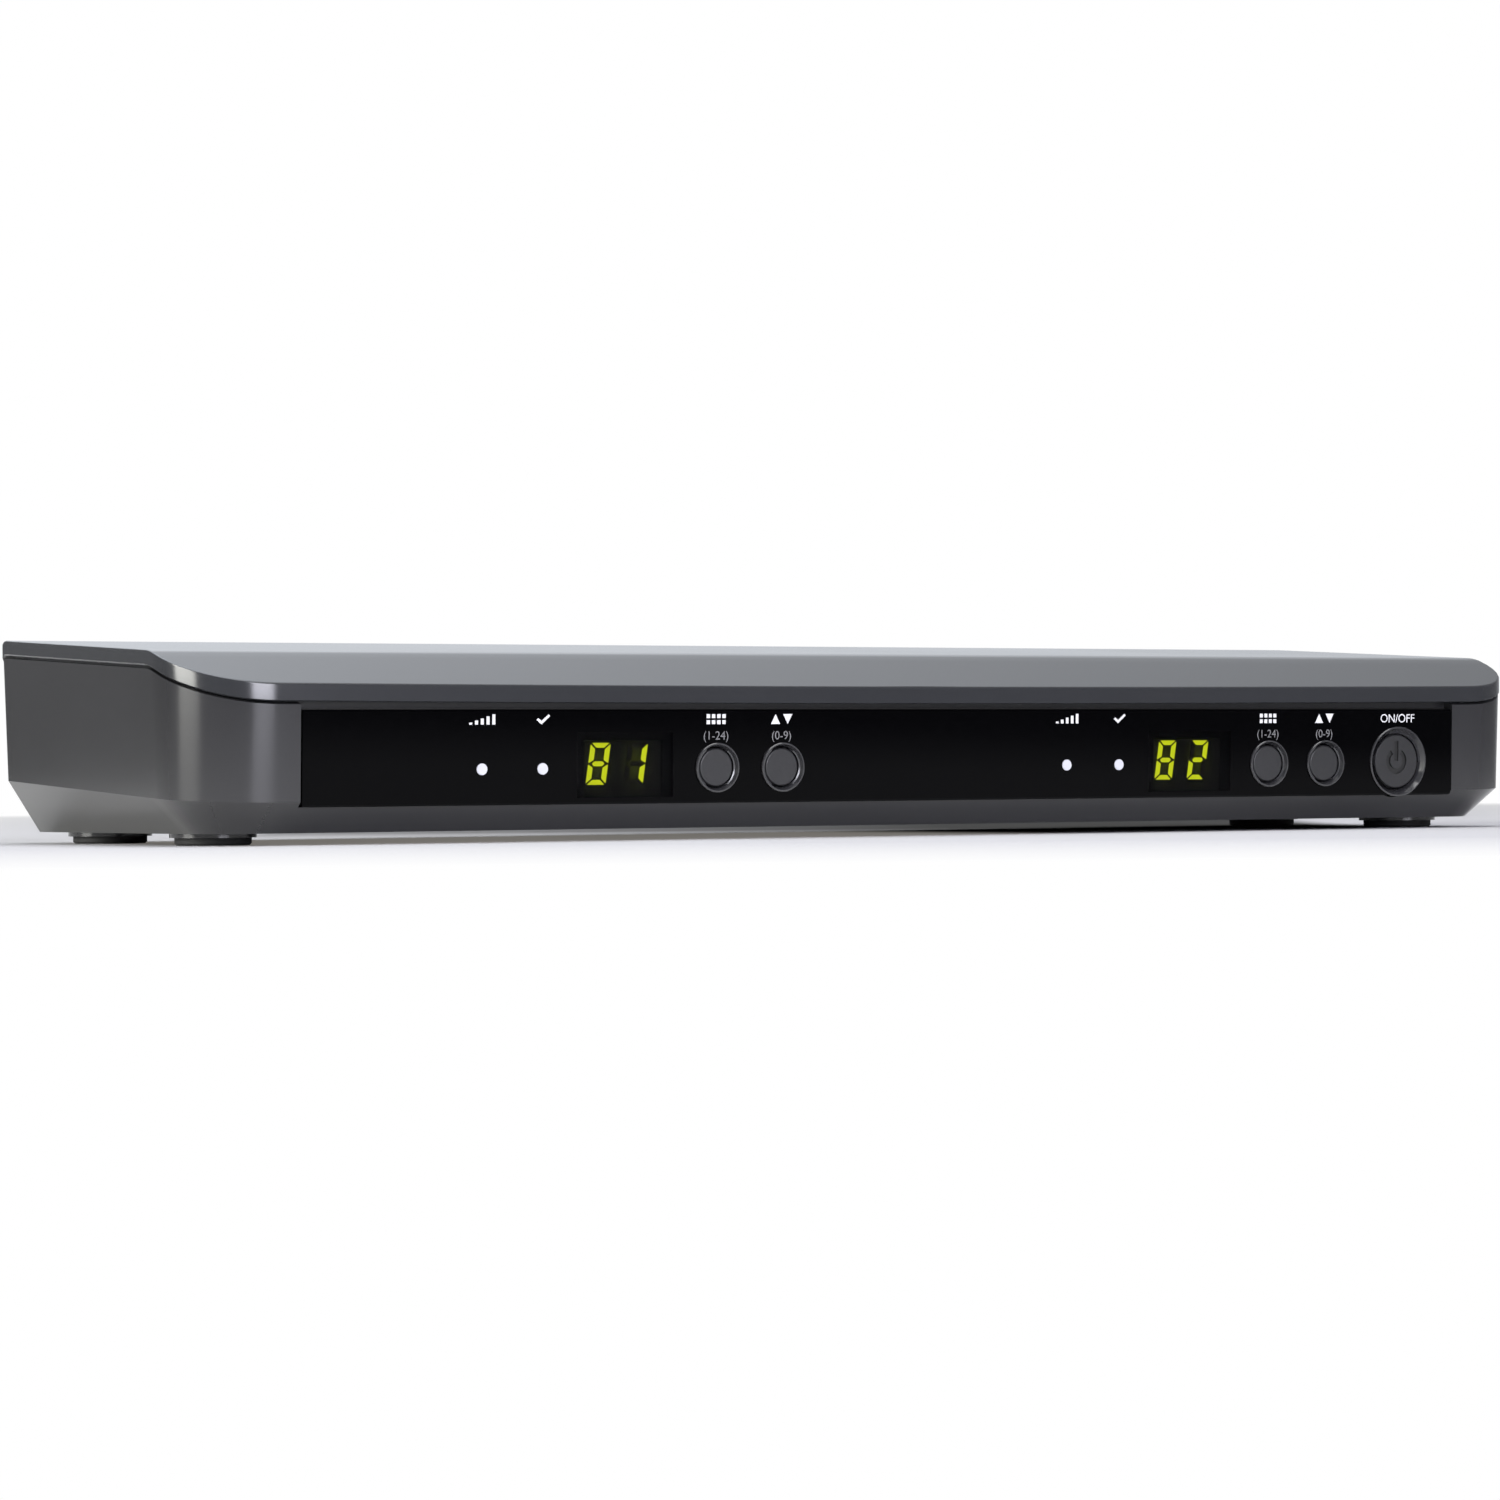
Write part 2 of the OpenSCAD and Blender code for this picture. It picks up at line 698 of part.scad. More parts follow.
module display_module(c) {
  color("#18181a") on_face(display_x + c, window_z)
    translate([-window_w / 2 + module_gap, -window_h / 2 + module_gap, -$depth])
      cube([window_w - 2 * module_gap, window_h - 2 * module_gap, $depth - module_front]);
}

module display_module_1() display_module(0);
module display_module_2() display_module(channel_pitch);

// A bar with pointed ends, its middle at p, lying along X or standing up
module segment(p, upright, len) {
  e = segment_w / 2;
  translate(p) rotate(upright ? 90 : 0)
    polygon([[-len / 2, 0], [-len / 2 + e, -e], [len / 2 - e, -e],
      [len / 2, 0], [len / 2 - e, e], [-len / 2 + e, e]]);
}

// One segment of a leaning digit: 0 is the top one, then clockwise, and 6 is the middle one
module digit_segment(k) {
  across = digit_w - segment_w - 2 * segment_gap;
  up = (digit_h - segment_w) / 2 - 2 * segment_gap;
  half_w = (digit_w - segment_w) / 2;
  step = (digit_h - segment_w) / 2;
  middle = [[0, step], [half_w, step / 2], [half_w, -step / 2], [0, -step],
    [-half_w, -step / 2], [-half_w, step / 2], [0, 0]][k];
  upright = k != 0 && k != 3 && k != 6;
  translate([middle.y * tan(digit_lean), 0]) segment(middle, upright, upright ? up : across);
}

// Segments lit in each digit: "8" "1" on the first display, "8" "2" on the second
shown = [[[0, 1, 2, 3, 4, 5, 6], [1, 2]], [[0, 1, 2, 3, 4, 5, 6], [0, 1, 6, 4, 3]]];

module segments(lit) {
  for (c = [0, 1], d = [0, 1], k = [0:6])
    if ((len([for (s = shown[c][d]) if (s == k) s]) > 0) == lit)
      on_face(display_x + channels[c], window_z)
        translate([digit_shift + (d - 0.5) * digit_pitch, digit_z - window_z, -module_front])
          linear_extrude(segment_t) digit_segment(k);
}

module lit_segments() {
  color("#d6f23a") segments(true);
}

module dark_segments() {
  color("#26261c") segments(false);
}

// ---- boards ----

module control_board() {
  low = lens_lo + 2.4;
  half_w = lens_half_w - ledge_side - 1;
  color("#1d4a2c")
  difference() {
    on_face(0, row_h) translate([-half_w, low - row_h, -control_depth - board_t])
      cube([2 * half_w, lens_hi - 1 - low, board_t]);
    on_face(power_x, power_h) translate([0, 0, -$depth - board_t - 2])
      cylinder(h = board_t + 4, r = power_plunger_r + 0.6);
    for (x = control_screws_at) on_face(x, control_screw_h)
      translate([0, 0, -$depth - board_t - 2]) cylinder(h = board_t + 4, r = 1.2);
  }
}

module control_board_screws() {
  color("#9a9a9c") for (x = control_screws_at) on_face(x, control_screw_h) {
    translate([0, 0, -$depth - board_t]) cylinder(h = 5, r = 1);
    translate([0, 0, -$depth - board_t - 1.4]) cylinder(h = 1.4, r = 2);
  }
}

module main_board() {
  color("#1d4a2c")
  difference() {
    translate([-main_half_w, main_front, main_h]) cube([2 * main_half_w, main_back - main_front, board_t]);
    for (p = case_screws_at) post(p, main_h - 1, main_top + 1, case_boss_r + 0.6);
    for (p = board_screws_at) post(p, main_h - 1, main_top + 1, screw_r + 0.2);
  }
}

module main_board_screws() {
  color("#9a9a9c") for (p = board_screws_at) {
    post(p, main_h - 5, main_top, screw_r);
    post(p, main_top, main_top + 1.6, 2.7);
  }
}

function ribbon_start() = face_y(0, ribbon_z) + control_depth + board_t + header_h;
function ribbon_turn() = ribbon_start() + 2.4;

// Headers that the ribbon cable plugs into, one on each board
module board_headers() {
  color("#e6e2d6") {
    on_face(0, ribbon_z) translate([header_x, -header_d / 2, -control_depth - board_t - header_h])
      cube([header_w, header_d, header_h]);
    translate([header_x, ribbon_turn() + ribbon_bend - header_d / 2, main_top])
      cube([header_w, header_d, header_h]);
  }
}

module ribbon_cable() {
  outer = ribbon_bend + ribbon_t / 2;
  inner = ribbon_bend - ribbon_t / 2;
  centre_z = ribbon_z - ribbon_bend;
  color("#8d8f92") translate([header_x + 1, 0, 0]) rotate([90, 0, 90]) linear_extrude(header_w - 2)
    polygon(concat(
      [[ribbon_start() + 0.15, ribbon_z - ribbon_t / 2], [ribbon_start() + 0.15, ribbon_z + ribbon_t / 2]],
      [for (a = [90:-15:0]) [ribbon_turn() + outer * cos(a), centre_z + outer * sin(a)]],
      [[ribbon_turn() + outer, main_top + header_h], [ribbon_turn() + inner, main_top + header_h]],
      [for (a = [0:15:90]) [ribbon_turn() + inner * cos(a), centre_z + inner * sin(a)]]));
}

// Pressed can over a channel's radio parts, open towards the board
module rf_shield(x) {
  color("#b8bcc0") translate([x - shield_w / 2, shield_y, main_top]) difference() {
    cube([shield_w, shield_d, shield_h]);
    translate([sheet_t, sheet_t, -1])
      cube([shield_w - 2 * sheet_t, shield_d - 2 * sheet_t, shield_h + 1 - sheet_t]);
    for (i = [1:5]) translate([i * shield_w / 6, shield_d / 2, shield_h - 2]) cylinder(h = 4, r = 1.5);
  }
}

module rf_shield_1() rf_shield(-shield_x);
module rf_shield_2() rf_shield(shield_x);

// Bent metal strip that stands on an end of the main board
module aerial(side) {
  color("#c9a94a") mirror([side < 0 ? 1 : 0, 0, 0])
    translate([main_half_w - 1, shield_y + shield_d / 2 - 6 + aerial_len, main_top]) rotate([90, 0, 0])
      linear_extrude(aerial_len) polygon([[0, 0], [0, aerial_h], [-4, aerial_h], [-4, aerial_h - sheet_t],
        [-sheet_t, aerial_h - sheet_t], [-sheet_t, sheet_t], [-aerial_foot, sheet_t], [-aerial_foot, 0]]);
}

module antenna_left() aerial(-1);
module antenna_right() aerial(1);

module capacitors() {
  color("#23232a") for (p = capacitors_at) post(p, main_top, main_top + capacitor_h, capacitor_r);
}

// Two rows of chips in front of the jacks
module audio_chips() {
  color("#1a1a1c") for (x = [-60, 60], row = [0, 1])
    translate([x - chip_w / 2, jack_back - 4.6 - chip_d - row * 14, main_top]) cube([chip_w, chip_d, chip_t]);
}

// ---- back ----

// Children sit on the back panel at x and height z, with their own +Z pointing out of it
module at_back(x, z) {
  translate([x, panel_out, z]) rotate([-90, 0, 0]) children();
}

module xlr_shell(x) {
  out = xlr_cup_r + shell_t;
  color("#9fa3a8") at_back(x, output_h) rotate_extrude()
    polygon([[xlr_cup_r, cup_floor], [out, cup_floor], [out, 0.05],
      [out + 1.6, 0.05], [out + 1.6, shell_lip - 0.4],
      [out + 1.2, shell_lip], [xlr_cup_r + 0.3, shell_lip], [xlr_cup_r, shell_lip - 0.3]]);
}

module xlr_insert(x) {
  color("#161618") difference() {
    union() {
      at_back(x, output_h) translate([0, 0, cup_floor - insert_t])
        cylinder(h = insert_t, r = xlr_cup_r + shell_t);
      translate([x - xlr_cup_r, panel_out + cup_floor - insert_t, main_top])
        cube([2 * xlr_cup_r, insert_t, output_h - main_top - 4]);
    }
    each_xlr_pin(x) translate([0, 0, -pin_stem]) cylinder(h = pin_stem + 1, r = pin_stem_r + thread_gap);
  }
}

// Children sit on the cup's floor, on the line of each contact pin
module each_xlr_pin(x) {
  for (a = [0, 90, 180]) at_back(x, output_h)
    translate([xlr_pin_circle * cos(a), xlr_pin_circle * sin(a), cup_floor]) children();
}

// Contact pins; a thinner stem holds each one in the insert
module xlr_pins(x) {
  tip = 0.4;
  color("#d9dadb") each_xlr_pin(x) rotate_extrude()
    polygon([[0, -pin_stem], [pin_stem_r, -pin_stem], [pin_stem_r, 0], [xlr_pin_r, 0],
      [xlr_pin_r, pin_proud - tip], [xlr_pin_r - tip, pin_proud], [0, pin_proud]]);
}

module xlr_shell_1() xlr_shell(xlr_x[0]);
module xlr_shell_2() xlr_shell(xlr_x[1]);
module xlr_insert_1() xlr_insert(xlr_x[0]);
module xlr_insert_2() xlr_insert(xlr_x[1]);
module xlr_pins_1() xlr_pins(xlr_x[0]);
module xlr_pins_2() xlr_pins(xlr_x[1]);

module jack(x) {
  color("#1b1b1d") difference() {
    union() {
      translate([x - jack_w / 2, jack_back, main_top])
        cube([jack_w, panel_in - 0.1 - jack_back, output_h + jack_w / 2 - main_top]);
      at_back(x, output_h) translate([0, 0, -wall - 1]) cylinder(h = wall + 1 + bushing_out, r = bushing_r);
    }
    at_back(x, output_h) translate([0, 0, bushing_out - jack_depth])
      cylinder(h = jack_depth + 1, r = jack_bore_r);
  }
}

module jack_1() jack(jack_x[0]);
module jack_2() jack(jack_x[1]);

module jack_nuts() {
  color("#2a2a2d") for (x = jack_x) at_back(x, output_h) difference() {
    translate([0, 0, 0.05]) cylinder(h = nut_t, r = nut_r, $fn = 6);
    cylinder(h = nut_t + 1, r = bushing_r + 0.05);
  }
}

module dc_inlet() {
  color("#151517") difference() {
    union() {
      translate([inlet_x - inlet_w / 2, panel_out - inlet_len, main_top])
        cube([inlet_w, inlet_len - wall - 0.1, inlet_z + inlet_w / 2 - main_top]);
      at_back(inlet_x, inlet_z) translate([0, 0, -wall - 1]) cylinder(h = wall + 0.9, r = inlet_collar_r);
    }
    at_back(inlet_x, inlet_z) {
      translate([0, 0, -inlet_depth]) cylinder(h = inlet_depth + 1, r = inlet_bore_r);
      translate([0, 0, -inlet_depth - inlet_stem]) cylinder(h = 5, r = inlet_stem_r + thread_gap);
    }
  }
}

// Contact of the inlet; a thinner stem holds it in the inlet's floor
module dc_pin() {
  color("#d9dadb") at_back(inlet_x, inlet_z) {
    translate([0, 0, -inlet_depth - inlet_stem]) cylinder(h = inlet_stem + 1, r = inlet_stem_r);
    translate([0, 0, -inlet_depth]) cylinder(h = inlet_depth - 1, r = inlet_pin_r);
  }
}

// ---- underneath ----

module rubber_feet() {
  h = under_h - foot_boss_h + foot_well;
  color("#161617") for (p = feet_at) translate([p.x, p.y, 0]) rotate_extrude()
    polygon([[0, 0], [foot_r - 0.5, 0], [foot_r, 0.5], [foot_r, h], [0, h]]);
}

module case_screws() {
  color("#303033") for (p = case_screws_at) {
    post(p, head_seat_h - screw_head_h, head_seat_h, screw_head_r);
    post(p, head_seat_h - eps, boss_meet_h + 12, screw_r);
  }
}

bottom_housing();
top_cover();
front_lens();
front_bezel();
group_button_1();
channel_button_1();
group_button_2();
channel_button_2();
power_button();
group_plunger_1();
channel_plunger_1();
group_plunger_2();
channel_plunger_2();
power_plunger();
tact_switches();
power_switch();
light_pipes();
status_leds();
display_module_1();
display_module_2();
lit_segments();
dark_segments();
control_board();
control_board_screws();
main_board();
main_board_screws();
board_headers();
ribbon_cable();
rf_shield_1();
rf_shield_2();
antenna_left();
antenna_right();
capacitors();
audio_chips();
xlr_shell_1();
xlr_shell_2();
xlr_insert_1();
xlr_insert_2();
xlr_pins_1();
xlr_pins_2();
jack_1();
jack_2();
jack_nuts();
dc_inlet();
dc_pin();
rubber_feet();
case_screws();
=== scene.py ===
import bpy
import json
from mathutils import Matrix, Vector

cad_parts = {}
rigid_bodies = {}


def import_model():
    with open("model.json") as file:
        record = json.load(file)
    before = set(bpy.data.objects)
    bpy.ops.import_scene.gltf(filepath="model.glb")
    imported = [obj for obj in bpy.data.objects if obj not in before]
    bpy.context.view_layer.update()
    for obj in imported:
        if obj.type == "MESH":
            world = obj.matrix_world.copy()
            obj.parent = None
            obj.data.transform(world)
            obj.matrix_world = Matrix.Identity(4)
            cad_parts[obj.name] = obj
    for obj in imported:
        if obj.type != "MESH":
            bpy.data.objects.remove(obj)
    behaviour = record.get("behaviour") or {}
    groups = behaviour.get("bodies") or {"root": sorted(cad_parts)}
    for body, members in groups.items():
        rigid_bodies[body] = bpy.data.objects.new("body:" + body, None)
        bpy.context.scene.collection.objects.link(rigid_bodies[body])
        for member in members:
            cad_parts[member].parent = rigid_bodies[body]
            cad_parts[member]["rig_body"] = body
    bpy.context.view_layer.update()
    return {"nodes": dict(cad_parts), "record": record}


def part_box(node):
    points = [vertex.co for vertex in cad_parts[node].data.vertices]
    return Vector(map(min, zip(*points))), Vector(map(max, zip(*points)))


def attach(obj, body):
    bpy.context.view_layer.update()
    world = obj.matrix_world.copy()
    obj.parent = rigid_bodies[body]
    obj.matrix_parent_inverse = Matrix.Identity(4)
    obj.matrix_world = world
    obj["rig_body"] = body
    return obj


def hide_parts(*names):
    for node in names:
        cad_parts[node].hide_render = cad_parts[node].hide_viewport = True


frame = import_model()

import json
import math

import bmesh
import bpy
from mathutils import Matrix, Vector

mm = 0.001
scene = bpy.context.scene
slotOf = {part["node"]: part["material_slot"] for part in frame["record"]["subparts"]}


# A value in a shader, with ordinary arithmetic
class Wire:
    def __init__(self, nodes, socket):
        self.nodes = nodes
        self.socket = socket

    def math(self, operation, first, second=0.0):
        return self.nodes.add("ShaderNodeMath", {"operation": operation}, {0: first, 1: second})

    def __add__(self, other):
        return self.math("ADD", self, other)

    def __radd__(self, other):
        return self.math("ADD", other, self)

    def __sub__(self, other):
        return self.math("SUBTRACT", self, other)

    def __rsub__(self, other):
        return self.math("SUBTRACT", other, self)

    def __mul__(self, other):
        return self.math("MULTIPLY", self, other)

    def __rmul__(self, other):
        return self.math("MULTIPLY", other, self)

    def __truediv__(self, other):
        return self.math("DIVIDE", self, other)

    def __rtruediv__(self, other):
        return self.math("DIVIDE", other, self)

    def size(self):
        return self.math("ABSOLUTE", self)

    def root(self):
        return self.math("SQRT", self)

    def atLeast(self, other):
        return self.math("MAXIMUM", self, other)

    def atMost(self, other):
        return self.math("MINIMUM", self, other)

    def limited(self):
        return self.atLeast(0.0).atMost(1.0)

    # 1 at the middle, falling off smoothly on both sides
    def bell(self, middle, spread):
        off = (self - middle) / spread
        return self.math("EXPONENT", off * off * -0.5)

    # 1 between low and high, 0 outside, over a soft edge
    def between(self, low, high, edge):
        return ((self - low) / edge).limited() * ((high - self) / edge).limited()


# A node tree, built a node at a time
class Nodes:
    def __init__(self, tree):
        self.tree = tree
        self.tree.nodes.clear()

    def add(self, kind, settings, inputs, output=0):
        made = self.tree.nodes.new(kind)
        for key, value in settings.items():
            setattr(made, key, value)
        for key, value in inputs.items():
            self.feed(made.inputs[key], value)
        return None if output is None else Wire(self, made.outputs[output])

    def feed(self, socket, value):
        if isinstance(value, Wire):
            self.tree.links.new(value.socket, socket)
        else:
            socket.default_value = value

    def ray(self, name):
        return self.add("ShaderNodeLightPath", {}, {}, "Is " + name + " Ray")

    def blend(self, share, low, high):
        return self.add("ShaderNodeMix", {"data_type": "RGBA"}, {0: share, 6: low, 7: high}, 2)


# A material with one Principled shader
class Finish(Nodes):
    def __init__(self, name):
        self.material = bpy.data.materials.new(name)
        self.material.use_nodes = True
        super().__init__(self.material.node_tree)
        self.output = self.tree.nodes.new("ShaderNodeOutputMaterial")
        self.shader = self.tree.nodes.new("ShaderNodeBsdfPrincipled")
        self.tree.links.new(self.shader.outputs[0], self.output.inputs[0])
        self.place = self.add("ShaderNodeTexCoord", {}, {}, "Object")

    def set(self, **inputs):
        for key, value in inputs.items():
            self.feed(self.shader.inputs[key.replace("_", " ")], value)

    def noise(self, scale, detail=2.0, roughness=0.5):
        inputs = {"Vector": self.place, "Scale": scale, "Detail": detail, "Roughness": roughness}
        return self.add("ShaderNodeTexNoise", {}, inputs, "Fac")

    def axis(self, name):
        return self.add("ShaderNodeSeparateXYZ", {}, {0: self.place}, name)

    def bump(self, height, strength, distance):
        slope = {"Height": height, "Strength": strength, "Distance": distance}
        self.set(Normal=self.add("ShaderNodeBump", {}, slope))


def shade(red, green, blue):
    def linear(value):
        value = value / 255
        return value / 12.92 if value <= 0.04045 else ((value + 0.055) / 1.055) ** 2.4
    return (linear(red), linear(green), linear(blue), 1.0)


def dimmed(colour, share):
    return tuple(channel * share for channel in colour[:3]) + (1.0,)


# Patterns in the finishes: a slow cloud and a fine grain in plastic, streaks in metal, patches in what
# glows, and how much they change gloss and tone
texture = {
    "cloudScale": 14,
    "cloudDetail": 3,
    "grainDetail": 1.5,
    "plasticGloss": 0.06,
    "streakScale": 900,
    "streakDetail": 4,
    "streakRoughness": 0.6,
    "metalGloss": 0.14,
    "metalPolish": 0.05,
    "metalDark": 0.84,
    "metalBump": 0.12,
    "patchScale": 500,
    "patchDetail": 2,
    "patchRoughness": 0.35,
    "patchDark": 0.88,
    "patchDim": 0.92,
    "depth": 0.03 * mm,
}


# Moulded plastic: two close tones, a fine grain and a slow change of gloss
def plastic(name, dark, light, roughness, grain=0.35, grainScale=2600, shine=0.5):
    finish = Finish(name)
    cloud = finish.noise(texture["cloudScale"], texture["cloudDetail"])
    fine = finish.noise(grainScale, texture["grainDetail"])
    gloss = texture["plasticGloss"]
    finish.set(Base_Color=finish.blend(cloud * 0.5 + fine * 0.5, dark, light))
    finish.set(Roughness=cloud * gloss + fine * gloss + (roughness - gloss))
    finish.set(Specular_IOR_Level=shine)
    finish.bump(fine, grain, texture["depth"])
    return finish


def metal(name, colour, roughness):
    finish = Finish(name)
    streaks = finish.noise(texture["streakScale"], texture["streakDetail"], texture["streakRoughness"])
    finish.set(Base_Color=finish.blend(streaks, dimmed(colour, texture["metalDark"]), colour))
    least = roughness - texture["metalPolish"]
    finish.set(Metallic=1.0, Roughness=streaks * texture["metalGloss"] + least)
    finish.bump(streaks, texture["metalBump"], texture["depth"])
    return finish


# Emission: real light for the lit segments, painted glow where it is given to ink, light pipes and LEDs
def glow(name, colour, strength):
    finish = Finish(name)
    patch = finish.noise(texture["patchScale"], texture["patchDetail"])
    finish.set(Base_Color=finish.blend(patch, dimmed(colour, texture["patchDark"]), colour))
    finish.set(Roughness=texture["patchRoughness"])
    light = finish.blend(patch, dimmed(colour, texture["patchDim"]), colour)
    finish.set(Emission_Color=light, Emission_Strength=strength)
    return finish


# Clear windows in the lens, in millimetres, and how clear they are
lensWindow = {
    "firstMiddle": -82.6,
    "wide": 26.0,
    "middle": 18.0,
    "tall": 15.5,
    "edge": 0.3,
    "clear": 0.45,
}


# Smoked plastic, painted black from behind except over the two displays
def smokedLens():
    finish = plastic("smokedLens", shade(2, 2, 3), shade(4, 4, 5), 0.06, 0.01, 400, 0.05)
    x, z = finish.axis("X") / mm, finish.axis("Z") / mm
    windows = 0.0
    for channel in (0, 1):
        middle = lensWindow["firstMiddle"] + channel * marks["channelPitch"]
        half = lensWindow["wide"] / 2
        windows = x.between(middle - half, middle + half, lensWindow["edge"]) + windows
    low = lensWindow["middle"] - lensWindow["tall"] / 2
    windows = windows * z.between(low, low + lensWindow["tall"], lensWindow["edge"])
    finish.set(Alpha=1 - windows * lensWindow["clear"])
    return finish


# The painted glow round each figure on the display's face, standing in for the lit segments' spill, in
# millimetres
halo = {
    "wide": 1.9,
    "tall": 2.9,
    "colour": (120, 132, 10),
    "strength": 0.5,
}


# The face of a display: dark, with a painted glow round each figure, an emission standing in for the lit
# segments' spill
def displayFace():
    finish = plastic("displayBody", shade(32, 32, 27), shade(38, 38, 33), 0.5, 0.03, 900)
    x, z = finish.axis("X") / mm, finish.axis("Z") / mm
    light = 0.0
    for channel in (0, 1):
        for place in (-0.5, 0.5):
            middle = digits["firstDisplay"] + channel * marks["channelPitch"] + place * digits["pitch"]
            light = x.bell(middle, halo["wide"]) + light
    light = light * z.bell(digits["middle"], halo["tall"])
    finish.set(Emission_Color=finish.blend(light.limited(), (0, 0, 0, 1), shade(*halo["colour"])))
    finish.set(Emission_Strength=halo["strength"])
    return finish


def makeFinishes():
    return {
        "housing_plastic": plastic("housingPlastic", shade(38, 38, 40), shade(43, 43, 45), 0.18, 0.10),
        "lid_paint": plastic("lidPaint", shade(38, 39, 42), shade(43, 44, 47), 0.18, 0.08),
        "smoked_lens": smokedLens(),
        "ring_plastic": plastic("ringPlastic", shade(40, 40, 42), shade(46, 46, 49), 0.15, 0.1, 900, 0.7),
        "gloss_black": plastic("glossBlack", shade(7, 7, 8), shade(11, 11, 12), 0.2, 0.04, 900),
        "button_plastic": plastic("buttonPlastic", shade(26, 26, 28), shade(36, 36, 39), 0.36, 0.55, 1300),
        # Painted shade: the power symbol's groove is the cap's own plastic, and this darker copy paints
        # the shade in it
        "symbol_groove_shade": plastic("symbolGrooveShade", shade(9, 9, 10), shade(13, 13, 14), 0.5, 0.2, 1800),
        "natural_plastic": plastic("naturalPlastic", shade(214, 210, 196), shade(224, 220, 208), 0.5),
        "black_plastic": plastic("blackPlastic", shade(22, 22, 23), shade(30, 30, 31), 0.45),
        # The light pipes and clear LEDs are grey plastic with a small painted glow, an emission that makes
        # them read brighter behind the dark lens
        "light_pipe": glow("lightPipe", shade(190, 191, 200), 0.12),
        "led_clear": glow("ledClear", shade(200, 203, 208), 0.2),
        "display_body": displayFace(),
        "segment_lit": glow("segmentLit", shade(226, 240, 34), 3.3),
        "segment_dark": plastic("segmentDark", shade(44, 40, 30), shade(52, 47, 36), 0.5, 0.1),
        "circuit_board": plastic("circuitBoard", shade(26, 70, 42), shade(32, 84, 50), 0.35, 0.2),
        "zinc_screw": metal("zincScrew", shade(190, 190, 188), 0.35),
        "black_screw": plastic("blackScrew", shade(30, 30, 31), shade(42, 42, 44), 0.35, 0.3),
        "ribbon": plastic("ribbonSleeve", shade(140, 142, 146), shade(150, 152, 156), 0.5),
        "tinned_steel": metal("tinnedSteel", shade(196, 198, 200), 0.35),
        "antenna_brass": metal("antennaBrass", shade(206, 170, 96), 0.3),
        "capacitor_sleeve": plastic("capacitorSleeve", shade(24, 25, 34), shade(30, 31, 42), 0.3, 0.1),
        "nickel_shell": metal("nickelShell", shade(176, 178, 180), 0.22),
        "silver_pin": metal("silverPin", shade(214, 214, 214), 0.2),
        "nut_black": plastic("nutBlack", shade(28, 28, 29), shade(36, 36, 38), 0.35, 0.2),
        "foot_rubber": plastic("footRubber", shade(20, 20, 21), shade(27, 27, 28), 0.75, 0.6, 1800),
        # The ink is printed colour with a painted glow: a small emission that makes the marks read
        # brighter
        "bright_ink": glow("brightInk", shade(205, 205, 208), 0.12),
        "dim_ink": glow("dimInk", shade(108, 108, 110), 0.03),
    }


# The camera: place in metres, turn in degrees, lens and sensor in millimetres
view = {
    "place": (-0.6379, -1.0578, 0.0148),
    "turn": (90.324, 0.486, -30.495),
    "lens": 115.93,
    "sensor": 36.0,
}


def addCamera():
    data = bpy.data.cameras.new("camera")
    data.lens = view["lens"]
    data.sensor_width = view["sensor"]
    data.clip_start = 0.01
    camera = bpy.data.objects.new("camera", data)
    camera.location = view["place"]
    camera.rotation_euler = [math.radians(angle) for angle in view["turn"]]
    scene.collection.objects.link(camera)
    scene.camera = camera
    scene.view_settings.view_transform = "Standard"


# Lamps are rectangles that face the middle of the object: bearing in degrees from +X towards +Y,
# distance and height of the middle, width and height of the panel, watts and colour
lamps = {
    "leftPanel": {"bearing": 178, "away": 1.7, "height": 0.50, "wide": 0.85, "tall": 1.0,
                  "watts": 37.0, "colour": (1.0, 1.0, 0.95)},
    "frontPanel": {"bearing": 268, "away": 1.9, "height": 0.50, "wide": 0.85, "tall": 1.0,
                   "watts": 40.0, "colour": (0.90, 0.90, 1.0)},
    "backPanel": {"bearing": 84, "away": 1.4, "height": 2.1, "wide": 1.4, "tall": 1.3,
                  "watts": 8.0, "colour": (0.82, 0.90, 1.0)},
    "overhead": {"bearing": 270, "away": 0.25, "height": 1.6, "wide": 1.3, "tall": 1.3,
                 "watts": 24.0, "colour": (1.0, 1.0, 1.0)},
}


def addLamp(name, lamp):
    bearing = math.radians(lamp["bearing"])
    place = Vector((lamp["away"] * math.cos(bearing), lamp["away"] * math.sin(bearing), lamp["height"]))
    data = bpy.data.lights.new(name, "AREA")
    data.shape = "RECTANGLE"
    data.size = lamp["wide"]
    data.size_y = lamp["tall"]
    data.energy = lamp["watts"]
    data.color = lamp["colour"]
    panel = bpy.data.objects.new(name, data)
    panel.location = place
    panel.rotation_euler = (Vector((0, 0, 0.02)) - place).to_track_quat("-Z", "Y").to_euler()
    panel.visible_camera = False
    scene.collection.objects.link(panel)


